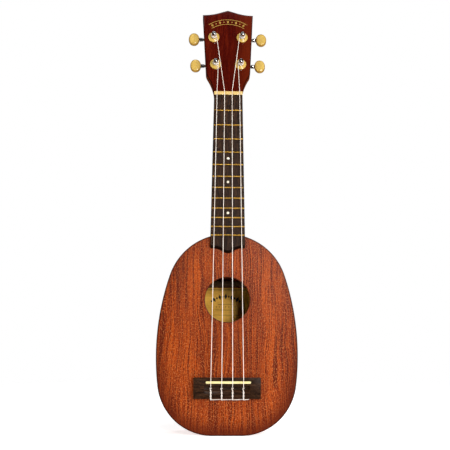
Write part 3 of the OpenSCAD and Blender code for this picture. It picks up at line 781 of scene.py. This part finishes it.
def make_soundboard(material):
    rims = [(0, PLATE_T)] + rounded_edge(PLATE_RIM) + [(off, 0) for off in INNER_OFFS]
    rings = [body_ring(off, y) for off, y in rims]
    edges = [off for off, _ in rims]
    outer = both_sides(body_half(INNER_OFFS[-1]))
    centre = np.array([0, HOLE_Z])
    spokes = outer - centre
    spokes /= np.linalg.norm(spokes, axis=1)[:, None]
    # These edge distances make the edge tint paint shade round the sound hole's edge.
    for off, y in [(6, 0), (2, 0), (0.9, 0), (0.4, 0), (0.12, 0.12), (0, 0.4), (0, PLATE_T)]:
        rings.append(in_body(*(centre + (HOLE_R + off) * spokes).T, -y))
        edges.append(max(off * 1.6, 0.3))
    rings.append(body_ring(INNER_OFFS[-1], PLATE_T))
    edges.append(FAR_IN)
    points = np.concatenate(rings)
    values = {"grain": points, "edge": np.repeat(edges, len(outer))}
    faces = grid_faces(len(rings), len(outer), close_rows=True)
    obj = new_object("soundboard_top", points, faces, values)
    finish(obj, material, ["soundboard"])


def make_back(material):
    inner = BODY_D - PLATE_T
    stack = [(off, inner) for off in (55, 30, 1, 0)]
    stack += [(off, BODY_D - depth) for off, depth in rounded_edge(PLATE_RIM)]
    stack += [(off, BODY_D) for off in INNER_OFFS + [42, 55]]
    rings = np.array([body_ring(off, y) for off, y in stack])
    edges = [FAR_IN if y == inner and off > 1 else off for off, y in stack]
    obj = skin("back_shell", rings, np.repeat(edges, len(rings[0])),
               rings.reshape(-1, 3) + [300, 0, 0])
    finish(obj, material, ["back_plate"])


def make_ribs(material):
    low, high = PLATE_T, BODY_D - PLATE_T
    section = [(0, y) for y in (low, low + 1, low + 3, mix(low, high, 0.3), mix(low, high, 0.7),
                                high - 3, high - 1, high)]
    section += [(RIB_T, y) for y in (high, mix(low, high, 0.5), low)]
    outer, inner = body_half(0), body_half(RIB_T)
    run = np.concatenate([[0], np.cumsum(np.linalg.norm(np.diff(outer, axis=0), axis=1))])
    for name, side in (("left", -1), ("right", 1)):
        rings, grain, edges = [], [], []
        for a, b, s in zip(outer, inner, run):
            plan = [mix(a, b, off / RIB_T) for off, _ in section]
            rings.append([(side * x, y, z) for (x, z), (_, y) in zip(plan, section)])
            grain += [(y + 500 * side, off, s) for off, y in section]
            edges += [FAR_IN if off else min(y - low, high - y) + 1.2 for off, y in section]
        finish(skin("side_" + name, rings, edges, grain), material,
                     ["rib_" + name])


# ---- Neck and headstock ----

HEEL_FLAT, HEEL_RUN, HEEL_TIP, HEEL_D = 9.0, 34.0, 10.0, 52.0
HEEL_START = BODY_TOP + HEEL_FLAT
HEAD_BLEND = 26.0
DEPTH_NUT, DEPTH_HEEL = 12.6, 15.0
SUNK = 0.15
BUSHING_HOLE_R = 4.1


def board_half(z):
    return NUT_HALF + (BOARD_END_HALF - NUT_HALF) * -z / BOARD_LEN


def neck_point(z, a):
    """The neck's skin: z along it, a round its back from the right, in degrees."""
    heel = 1 - sqrt(1 - (1 - np.clip((z - HEEL_START) / HEEL_RUN, 0, 1)) ** 2)
    foot = smooth((z + HEAD_BLEND) / HEAD_BLEND)
    plain = mix(DEPTH_NUT, DEPTH_HEEL, np.clip(-z / -(HEEL_START + HEEL_RUN), 0, 1))
    depth = mix(mix(plain, -1 + HEAD_T * cos(HEAD_TILT), foot), HEEL_D, heel)
    tip = HEEL_TIP * sqrt(1 - np.clip((z - BODY_TOP) / HEEL_FLAT, 0, 1) ** 2)
    half = HEAD_WAIST if z > 0 else board_half(z)
    side_bow = mix(mix(0.9, 1.5, heel), 0.3, foot)
    c, s = abs(cos(radians(a))), sin(radians(a))
    y = depth * max(s, 0) ** mix(0.85, 0.3, foot)
    x = tip * min(1, 8 * c) + (half - tip) * c ** side_bow
    return np.array([x if a < 90 else -x, y, z - foot * tan(HEAD_TILT) * (y + 1)])


def shoulder_at(x):
    """Height of the body's upper edge."""
    return BODY_TOP - SHOULDER_R + np.sqrt(SHOULDER_R ** 2 - x ** 2)


def make_neck(material):
    """Its first ring follows the body's shoulder, a little inside it."""
    columns = np.concatenate([np.linspace(0, 12, 9)[:-1], np.linspace(12, 78, 24)[:-1],
                              np.linspace(78, 90, 10)])
    columns = np.concatenate([columns[:-1], 180 - columns[::-1]])
    zs = np.concatenate([
        BODY_TOP + HEEL_FLAT * np.sin(angles(4, 90, 16)),
        HEEL_START + HEEL_RUN * np.linspace(0, 1, 34)[1:] ** 1.4,
        np.linspace(HEEL_START + HEEL_RUN, -HEAD_BLEND, 26)[1:],
        np.linspace(-HEAD_BLEND, 0, 22)[1:-1], np.linspace(-0.01, HEAD_ORIGIN[2], 5)])
    rings = np.array([[neck_point(z, a) for a in columns] for z in (BODY_TOP, *zs)])
    rings[0, :, 2] = shoulder_at(rings[0, :, 0]) - SUNK
    finish(skin("neck_shaft", rings, 9, sharp=50), material, ["neck"])


def head_half():
    """The headstock's right half (x, t): flare, shoulder, side and crest."""
    flare_0, flare_1, side, crest = 10, 31, 3, 18
    corner_t, peak_r = 108.7, 2.5
    points = [(0, 0), (HEAD_WAIST * 0.5, 0), (HEAD_WAIST, 0)]
    bend(points, flare_0, flare_1, 64.0, 14)
    bend(points, flare_1, side, 12.0, 7)
    x, t = points[-1]
    corner_x = x + (corner_t - t) * tan(radians(side))
    points += [(mix(x, corner_x, f), mix(t, corner_t, f)) for f in (0.35, 0.7, 1)]
    bend(points, -90, crest - 90, 66.0, 14)
    x, t = points[-1]
    peak_x = peak_r * sin(radians(crest))
    points.append((peak_x, t + (x - peak_x) * tan(radians(crest))))
    bend(points, crest - 90, -90, peak_r, 6)
    return np.array(points)


def make_headstock(core_material, face_material):
    outline, inner_off = both_sides(head_half()), 2.2
    axes = np.stack([[1, 0, 0], HEAD_OUT, HEAD_ALONG], 1)
    for name, node, low, high, r_low, r_high, material, slot in (
            ("headstock_core", "headstock", -HEAD_T, -VENEER_T, 1.3, 0.05, core_material,
             "neck_wood"),
            ("headstock_face", "head_veneer", -VENEER_T, 0, 0.05, 0.9, face_material,
             "head_gloss")):
        rings, _ = plate_rings(outline, low, high, r_low, r_high, head)
        inner = head(*inset(outline, inner_off).T, high)
        obj = skin(name, np.concatenate([rings, [inner]]), 0)
        cut(obj, *[rod(at_post(s), BUSHING_HOLE_R, PLATE_BACK, 1) for s in STRINGS])
        restamp(obj, outline, lambda p: (p - HEAD_ORIGIN) @ axes)
        finish(obj, material, [node])


def lozenge(centre, radius, angle, tall, wide):
    """Corners of a lozenge that stands on a circle, at an angle from the top."""
    s, c = sin(angle), cos(angle)
    return [(centre[0] + (radius + p) * s + q * c, centre[1] + (radius + p) * c - q * s)
            for p, q in ((tall, 0), (0, wide), (-tall, 0), (0, -wide))]


def make_ornament(material):
    """A plain gilt border: two thin arcs with a row of lozenges between."""
    heap = Heap()
    centre_t, radius, half_a = 58.3, 40.5, 33.5
    gap, line = 2.9, 0.7
    low, high = -0.1, 0.03
    for r0 in (radius - gap - line, radius + gap):
        section = ((r0, low), (r0 + line, low), (r0 + line, high), (r0, high))
        heap.add([[head(r * sin(u), centre_t + r * cos(u), h) for r, h in section]
                  for u in angles(-half_a, half_a, 48)])
    for k in range(-4, 5):
        size = (2.2, 1.5) if k % 2 == 0 else (1.0, 1.0)
        spot = lozenge((0, centre_t), radius, radians(k * half_a / 4.6), *size)
        heap.add([[head(x, t, h) for x, t in spot] for h in (low, high)])
    finish(heap.build("headstock_ornament"), material)


def make_heel_cap(material):
    a = angles(0, 180, 33)
    out = np.stack([HEEL_TIP * np.cos(a), BODY_TOP + HEEL_FLAT * np.sin(a)], 1)
    x = np.linspace(-HEEL_TIP, HEEL_TIP, 13)
    outline = np.concatenate([out, np.stack([x, shoulder_at(x)], 1)])
    rings, edges = plate_rings(outline, -HEEL_D - 2, -HEEL_D, 0.5, 0.1, in_body)
    finish(skin("heel_cap_plate", rings, edges), material,
                 ["heel_cap"])


# ---- Fingerboard, frets, dots and nut ----

def make_fingerboard(material):
    """Its sloping end is a bracket: two hollow curves and a rounded tip."""
    scoop, tip_r, land = 35, 8.5, 2.0
    end_x = BOARD_END_HALF - land
    points = [(0, 0), (NUT_HALF, 0)]
    points += [(board_half(z), z) for z in np.linspace(0, -BOARD_LEN, 9)[1:]]
    points.append((end_x, -BOARD_LEN))
    bend(points, -90, -90 - scoop, end_x / sin(radians(scoop)) - tip_r, 12)
    bend(points, -90 - scoop, -90, tip_r, 9)
    outline = both_sides(np.array(points))
    rings, edges = plate_rings(outline, 0.02, BOARD_T, 0.05, 0.45, in_body)
    rings = np.concatenate([rings, [in_body(*inset(outline, 1.6).T, BOARD_T)]])
    edges = np.append(edges, np.full(len(outline), 1.6))
    slope = BOARD_TOE * (1 + rings[..., 1] / BOARD_T)
    rings[..., 2] -= slope * (rings[..., 2] < 1 - BOARD_LEN)
    finish(skin("fingerboard_board", rings, edges), material,
                 ["fingerboard"])


def fret_z(n):
    return -SCALE_LEN * (1 - 2 ** (-n / 12))


def make_frets(material):
    """Domed crowns whose ends slope back to the fingerboard's edge."""
    heap = Heap()
    crown_half, crown_h = 0.95, 0.95
    a = angles(0, 180, 15)
    rise = np.concatenate([[-0.3], crown_h * np.sin(a), [-0.3]])
    along = crown_half * np.concatenate([[1], np.cos(a), [-1]])
    for n in range(1, FRET_COUNT + 1):
        half = board_half(fret_z(n)) - 0.1
        heap.add([np.stack([f * (half - 0.7 * np.maximum(rise, 0)), -BOARD_T + 0.02 - rise,
                            fret_z(n) + along], 1) for f in (-1, -0.5, 0, 0.5, 1)])
    finish(heap.build("fret_wires", sharp=50), material, ["frets"])


def make_dots(material):
    heap = Heap()
    profile = [(BOARD_T - 0.8, 1.5), (BOARD_T + 0.02, 1.5), (BOARD_T + 0.05, 1.42),
               (BOARD_T + 0.07, 0.9), (BOARD_T + 0.08, 0.3)]
    for n in (5, 7, 10):
        z = (fret_z(n - 1) + fret_z(n)) / 2
        heap.add(turned_rings(profile, lambda p, q, h: in_body(p, z + q, h), 32))
    finish(heap.build("fret_dots"), material, ["position_dots"])


def make_saddle(material):
    """A bar with round ends and a rounded top."""
    low, high = span("saddle")
    half_l, half_w = (high[0] - low[0]) / 2, (high[2] - low[2]) / 2
    right = arc((half_l - half_w, 0), half_w, 0, 180, 12)
    outline = np.concatenate([right, -right]) + [(low[0] + high[0]) / 2, SADDLE_Z]
    rings, edges = plate_rings(outline, -SADDLE_SEAT_Y, -SADDLE_TOP_Y, 0.1, 1.15, in_body, 7)
    finish(skin("saddle_bar", rings, edges + 2), material, ["saddle"])


def refine(node, material, bevel=0.0):
    """Keeps a CAD node's shape, rounds its edges, and gives it a material."""
    obj = frame["nodes"][node]
    mesh = obj.data
    if "custom_normal" in mesh.attributes:
        mesh.attributes.remove(mesh.attributes["custom_normal"])
    mesh.shade_smooth()
    mesh.materials.clear()
    mesh.materials.append(material)
    obj.modifiers.new("weld", "WELD").merge_threshold = MERGE_M
    if bevel:
        modifier = obj.modifiers.new("bevel", "BEVEL")
        modifier.width = bevel * MM
        modifier.segments = 2
        modifier.limit_method = "ANGLE"
        modifier.angle_limit = radians(SHARP)


# ---- Strings ----

NUT_SLOT_Y, NUT_EXIT_Y = -6.5, -5.75


def string_x(k, spread):
    return spread * (k / 3 - 0.5)


def tie(k):
    """The string's tail, its twisted pair over the tie block, and its loop."""
    x = string_x(k, SADDLE_SPREAD)
    front, block, hole = TIE_FRONT_Z, TIE_TOP_Y, TIE_HOLE_Y
    lay, turns = 0.52, 1.5
    behind = BRIDGE_BACK_Z - OPEN_R - 0.1
    top = block - OPEN_R - lay - 0.05
    tail_x = x + (SADDLE_SPREAD / 3 if k < 3 else 7.0)
    hook_z = front + 1.2
    string_y = hole - 0.55

    def pair(f, phase):
        a = 2 * pi * turns * f + phase
        return (x + 0.05 + lay * cos(a), top - 0.35 * sin(a),
                mix(behind, front, f))

    tail = [(tail_x - 0.6, -4.2 - 0.5 * (k % 2), behind - 0.25),
            (mix(x, tail_x, 0.6), -5.1, behind - 0.4),
            (x + 1.8, -5.9, behind - 0.5), (x - 0.2, block - 0.1, behind - 0.55)]
    hook = [(x - 0.9, block - 0.45, front + 0.3),
            (x - 1.1, string_y - 0.3, hook_z), (x - 0.1, string_y + 0.95, hook_z + 0.2),
            (x + 1.1, string_y - 0.1, hook_z + 0.1), (x + 0.9, string_y - 1.6, hook_z - 0.1),
            (x - 0.2, block - 1.35, front + 0.8),
            (x - 0.7, block - 1.1, front - 0.2)]
    through = [(x, block - 0.2, behind + 0.2), (x, block + 0.6, behind - 0.05),
               (x, hole - 0.8, behind), (x, hole - 0.1, behind + 0.35),
               (x, hole, behind + 1.4), (x, hole, front - 0.6),
               (x, string_y + 0.25, front + 0.5)]
    there = np.linspace(0.08, 0.88, 12)
    return catmull(tail + [pair(f, 0) for f in there] + hook
                   + [pair(f, pi) for f in there[::-1]] + through, 5)


def over_saddle(k):
    """The string's places on the saddle and in the nut's slot."""
    x, y = string_x(k, SADDLE_SPREAD), SADDLE_TOP_Y - OPEN_R
    crown = [(x, y + 0.75, SADDLE_Z - 1.3), (x, y + 0.25, SADDLE_Z - 0.75),
             (x, y, SADDLE_Z - 0.1)]
    x = string_x(k, NUT_SPREAD)
    nut = [(x, NUT_SLOT_Y - 0.01, -0.6), (x, NUT_SLOT_Y + 0.02, 0.3),
           (x, mix(NUT_SLOT_Y, NUT_EXIT_Y, 0.5), 2.4), (x, NUT_EXIT_Y, 4.5)]
    return np.array(crown), np.array(nut)


WRAP_R, WRAP_H, WRAP_PITCH, WRAP_TURN = POST_R + 0.5, 3.3, 0.75, 324.0


def wrap(k, side, centre):
    """Almost once round the post, just above the bushing."""
    v = np.array([string_x(k, NUT_SPREAD), 0]) - centre
    touch = degrees(atan2(v[1], v[0]))
    touch -= side * degrees(acos(WRAP_R / np.linalg.norm(v)))
    f = np.linspace(0, 1, 46)
    a = np.radians(touch - side * WRAP_TURN * f)
    r = WRAP_R - 0.25 * smooth((f - 0.85) / 0.15)
    return head(centre[0] + r * np.cos(a), centre[1] + r * np.sin(a), WRAP_H + WRAP_PITCH * f)


def make_strings(material):
    for k, (s, side, *centre) in enumerate(tuners()):
        crown, nut = over_saddle(k)
        free = mix(crown[-1], nut[0], np.linspace(0, 1, 14)[1:-1, None])
        turns = wrap(k, side, centre)
        path = np.concatenate([tie(k), crown, free, nut, turns])
        radii = np.full(len(path), OPEN_R)
        radii[-len(turns):] = STRING_R
        obj = skin("string_line_" + s, sweep(path, radii), sharp=60)
        finish(obj, material, ["string_" + s])


def make_windings(material):
    """Three turns above the string's last one, then the end through the post."""
    turns, pitch, start_h = 3.0, 0.72, 4.95
    top = start_h + pitch * turns
    f = np.linspace(0, 1, 110)
    r = POST_R + STRING_R + 0.02
    end = [(3.3, -0.5, mix(top, HOLE_H, 0.45)), (3.35, -0.25, mix(top, HOLE_H, 0.8)),
           (2.9, 0, HOLE_H), (1.2, 0, HOLE_H), (-1.2, 0, HOLE_H), (-3.6, 0, HOLE_H)]
    for s, side, x0, t0 in tuners():
        a = (pi if side < 0 else 0) + side * 2 * pi * turns * (1 - f)
        coil = head(x0 + r * np.cos(a), t0 + r * np.sin(a), start_h + pitch * turns * f)
        tail = [head(x0 + side * x, t0 - t, h) for x, t, h in end]
        path = np.concatenate([coil[:-1], catmull([coil[-1], *tail])])
        obj = skin("winding_coil_" + s, sweep(path, STRING_R), sharp=60)
        finish(obj, material, ["winding_" + s], "capstan_" + s)


# ---- Tuners ----

def make_bushings(material):
    profile = [(-6.9, 3.0), (-6.9, 4.0), (0.0, 4.0), (0.02, 7.0), (0.2, 7.1), (0.5, 7.08),
               (0.8, 6.85), (1.02, 6.45), (1.2, 6.0), (1.55, 5.2), (1.85, 4.6), (2.1, 4.1),
               (2.25, 3.75), (2.3, 3.4), (2.3, 2.9)]
    sides = 64
    edge = np.repeat([0.25 if r > 6.7 else 2 for _, r in profile], sides)
    heap = Heap()
    for s in STRINGS:
        heap.add(turned_rings(profile, at_post(s), sides), edge)
    finish(heap.build("bushing_set", sharp=50), material, ["bushings"])


def make_posts(material):
    """Waisted posts with a string hole and a square end for the gear."""
    waist, dome, hole_r, seat_r = 2.72, 1.2, 0.8, 2.5
    profile = [(PLATE_BACK - 0.1, POST_R), (3.2, POST_R), (3.6, waist), (7.2, waist),
               (7.6, POST_R), (POST_TOP - dome, POST_R)]
    profile += [(POST_TOP - dome + dome * sin(u), POST_R - dome + dome * cos(u))
                for u in angles(10, 88, 8)]
    profile += [(POST_TOP, 0.8), (POST_TOP - 0.12, 0.5)]
    corner = pi / 4 + np.arange(4) * pi / 2
    for s, _, x, t in tuners():
        obj = skin("post_" + s + "_shaft", turned_rings(profile, at_post(s)))
        cut(obj, rod(lambda p, q, out: head(x + out, t + p, HOLE_H + q), hole_r, -4, 4, 28))
        seat = [head(x + seat_r * np.sin(corner), t + seat_r * np.cos(corner), h)
                for h in (SEAT_BACK, PLATE_BACK)]
        join(obj, skin("seat", seat))
        finish(obj, material, ["post_" + s], "capstan_" + s)


THREAD_HALF = 4.2
CREST_R, ROOT_R = 2.7, 1.5
CREST_A, ROOT_A = 44.0, 116.0


def thread_radius(x, angle):
    """Radius of the worm's thread; its crest faces the gear at the middle."""
    turned = np.degrees(angle) - 180 - 360 * x / WORM_LEAD
    off = np.abs((turned + 180) % 360 - 180)
    return mix(CREST_R, ROOT_R, smooth((off - CREST_A) / (ROOT_A - CREST_A)))


def make_worms(material):
    """Worm, two journals, shaft, and the collar under the button."""
    sides = 56
    angle = circle(sides)
    before = [(-6.1, 1.0), (-6.05, 1.2), (-THREAD_HALF - 0.02, 1.2)]
    thread = [(x, None) for x in np.linspace(-THREAD_HALF, THREAD_HALF, 96)]
    after = [(4.22, 1.2), (4.25, 1.8), (5.85, 1.8), (5.9, 2.2), (6.05, 2.4), (6.75, 2.4),
             (6.9, 2.2), (6.92, 1.65), (13.9, 1.65), (13.95, 2.1), (14.15, 2.4), (14.9, 2.4),
             (15.1, 2.15), (15.7, 2.15), (15.9, 2.4), (18.1, 2.4), (18.28, 2.25), (18.3, 1.2),
             (25.6, 1.2)]
    for s, side, x0, t0 in tuners():
        rings = []
        for d, r in before + thread + after:
            r = thread_radius(side * d, angle) if r is None else r
            rings.append(head(x0 + side * d, t0 + WORM_T + r * np.cos(angle),
                              WORM_H + r * np.sin(angle)))
        obj = skin("worm_shaft_" + s, rings, sharp=40)
        finish(obj, material, ["worm_" + s], "knob_" + s)


BUTTON_X = 18.3


def make_buttons(material):
    """Oval buttons with a rolled rim and a slight dish for the thumb."""
    half_l, half_w, half_t, dish = 6.75, 8.6, 3.5, 0.35
    plan_pow, rim_pow = 2.12, 3.0
    sides, steps = 72, 13

    def oval(v):
        return np.sign(v) * np.abs(v) ** (2 / plan_pow)

    u = circle(sides)
    plan_x, plan_t = half_l * oval(np.cos(u)), half_w * oval(np.sin(u))
    a = angles(4, 90, steps)
    rho = np.sin(a) ** (2 / rim_pow)
    height = np.cos(a) ** (2 / rim_pow) * half_t - dish * smooth(1 - rho / 0.75)
    levels = list(zip(rho, height)) + list(zip(rho[-2::-1], -height[-2::-1]))
    edge = np.repeat([max(0.0, (0.93 - r) * 9) for r, _ in levels], sides)
    for s, side, x0, t0 in tuners():
        middle = x0 + side * (BUTTON_X + half_l)
        rings = [head(middle + side * plan_x * r, t0 + WORM_T + plan_t * r, WORM_H + h)
                 for r, h in levels]
        obj = skin("button_" + s + "_knob", rings, edge, sharp=70)
        finish(obj, material, ["button_" + s], "knob_" + s)


def make_plate_screws(material):
    """Round heads with a crossed recess, two to each tuner plate."""
    profile = [(-1.2, 0.3), (-1.2, 1.1), (-1.08, 1.5), (-0.85, 1.85), (-0.5, 2.08), (-0.1, 2.1),
               (0, 2.1), (0.02, 0.9), (6.2, 0.9), (6.9, 0.2)]
    heads, tools = [], []
    for s, _, x, t in tuners():
        for dt in (-10.5, 15.5):
            heads.append(skin("head", turned_rings(profile, at_post(s, dt, PLATE_BACK), 40)))
            for wide, tall in ((1.15, 0.22), (0.22, 1.15)):
                across, up = np.array([(-wide, -tall), (wide, -tall), (wide, tall), (-wide, tall)]).T
                tools.append(skin("tool", [head(x + across * f, t + dt + up * f, PLATE_BACK + h)
                                           for h, f in ((-2, 1.0), (-0.55, 0.7))]))
    obj = heads[0]
    for other in heads[1:]:
        join(obj, other)
    obj.name = "plate_screw_set"
    cut(obj, *tools)
    finish(obj, material, ["plate_screws"])


# ---- Label ----

def make_label(material, ink):
    """A sheet with a plain border, lozenges, thin rules and dashes."""
    low, high = span("paper_label")
    u = np.array([(low[0], low[2]), (high[0], low[2]), (high[0], high[2]), (low[0], high[2])])
    outline = np.concatenate([mix(a, b, np.linspace(0, 1, 9)[:-1, None])
                              for a, b in zip(u, np.roll(u, -1, 0))])
    rings, edges = plate_rings(outline, -high[1], -low[1], 0.02, 0.1, in_body, 2)
    finish(skin("label_sheet", rings, edges), material, ["paper_label"])

    heap = Heap()
    top, bottom = high[2], low[2]

    def mark(plan):
        heap.add([[(x, low[1] + dy, z) for x, z in plan] for dy in (0.03, -0.03)])

    def strip(x0, x1, z0, z1):
        mark([(x0, z0), (x1, z0), (x1, z1), (x0, z1)])

    for gap, thick in ((2.2, 0.5), (3.6, 0.25)):
        left, right = low[0] + gap, high[0] - gap
        for z in (top - gap - thick, bottom + gap):
            strip(left, right, z, z + thick)
        for x in (left, right - thick):
            strip(x, x + thick, bottom + gap, top - gap)
    for k in range(-5, 6):
        size = (3.6, 1.9) if k % 2 == 0 else (1.7, 1.3)
        mark(lozenge((0, top - 40.0), 29.0, radians(7.6 * k), *size))
    for drop, half in ((21.0, 10.0), (28.0, 13.0), (34.5, 17.0)):
        strip(-half, half, top - drop - 0.35, top - drop)
    for k in range(-3, 4):
        strip(4.0 * k - 0.5, 4.0 * k + 0.5, top - 24.8, top - 23.8)
    finish(heap.build("label_print"), ink)


# ---- Assembly ----

def make_all():
    top = mahogany_top()
    make_soundboard(top)
    make_back(top)
    make_ribs(top)
    neck = neck_wood()
    make_neck(neck)
    make_headstock(neck, head_gloss())
    make_ornament(print_ink("gilt_print", (0.26, 0.15, 0.03), (0.4, 0.25, 0.055), (0.3, 0.45), 0.2))
    # Painted shade: the fingerboard's and heel cap's sides, sloping toe and top rims are tinted near
    # black.
    board = rosewood("rosewood", "grain", 3, 0.8, ((0.003, 0.0018, 0.0012), 1.5, 0.97, *EVERYWHERE))
    make_fingerboard(board)
    make_heel_cap(board)
    refine("bridge", rosewood("rosewood_bridge", "across", 17, 0.75), 0.35)
    make_frets(metal("fret_metal", (0.62, 0.33, 0.05), (0.74, 0.42, 0.08), (0.4, 0.52),
                     (0.4, 3, 3), 0.001))
    make_dots(pearl())
    make_saddle(plastic("ivory_plastic", (0.7, 0.6, 0.27), (0.8, 0.72, 0.38),
                        (0.6, 0.45, 0.2),
                        {SPECULAR: 0.5, **milky(0.15, 0.6)}))
    # The nut has no edge attribute, so its edge tint covers the whole nut and is its own colour.
    refine("nut", plastic("nut_plastic", (0.6, 0.48, 0.19), (0.68, 0.57, 0.26),
                          (0.6, 0.42, 0.15), {SPECULAR: 0.4}), 0.12)
    line = nylon()
    make_strings(line)
    make_windings(line)
    # Its third colour is painted shade at the buttons' and bushings' edges.
    cream = plastic("cream_plastic", (0.49, 0.32, 0.07), (0.58, 0.4, 0.1),
                    (0.38, 0.2, 0.03), {SPECULAR: 0.35, "Coat Weight": 0.12,
                                          "Coat Roughness": 0.15})
    make_bushings(cream)
    make_buttons(cream)
    chrome = metal("chrome_plate", (0.52, 0.52, 0.54), (0.8, 0.8, 0.82), (0.05, 0.16),
                   (0.5, 3, 3))
    make_posts(chrome)
    make_worms(chrome)
    make_plate_screws(chrome)
    brass = metal("gear_brass", (0.46, 0.3, 0.1), (0.72, 0.5, 0.21), (0.16, 0.34), 2)
    for s in STRINGS:
        refine("gear_" + s, brass, 0.06)
        refine("gear_screw_" + s, chrome, 0.12)
        refine("tuner_plate_" + s, chrome, 0.16)
    make_label(label_paper(), print_ink("label_ink", (0.012, 0.008, 0.005), (0.03, 0.02, 0.01),
                                        (0.35, 0.6), 0.1))
    pale = bare_wood("bare_spruce", seed=5)
    lining = bare_wood("lining_wood", "across", 9)
    inner = bare_mahogany_painted_shade()
    for nodes, material, bevel in (
            (("neck_block", "tail_block", "bridge_patch", "neck_dowels"), pale, 0.3),
            (("top_lining", "back_lining"), pale, 0),
            (("top_brace_upper", "top_brace_lower"), lining, 0.6),
            (("back_brace_upper", "back_brace_lower"), inner, 0.6)):
        for node in nodes:
            refine(node, material, bevel)


make_camera()
make_studio()
make_floor()
make_all()
bpy.context.scene.view_settings.view_transform = "Standard"
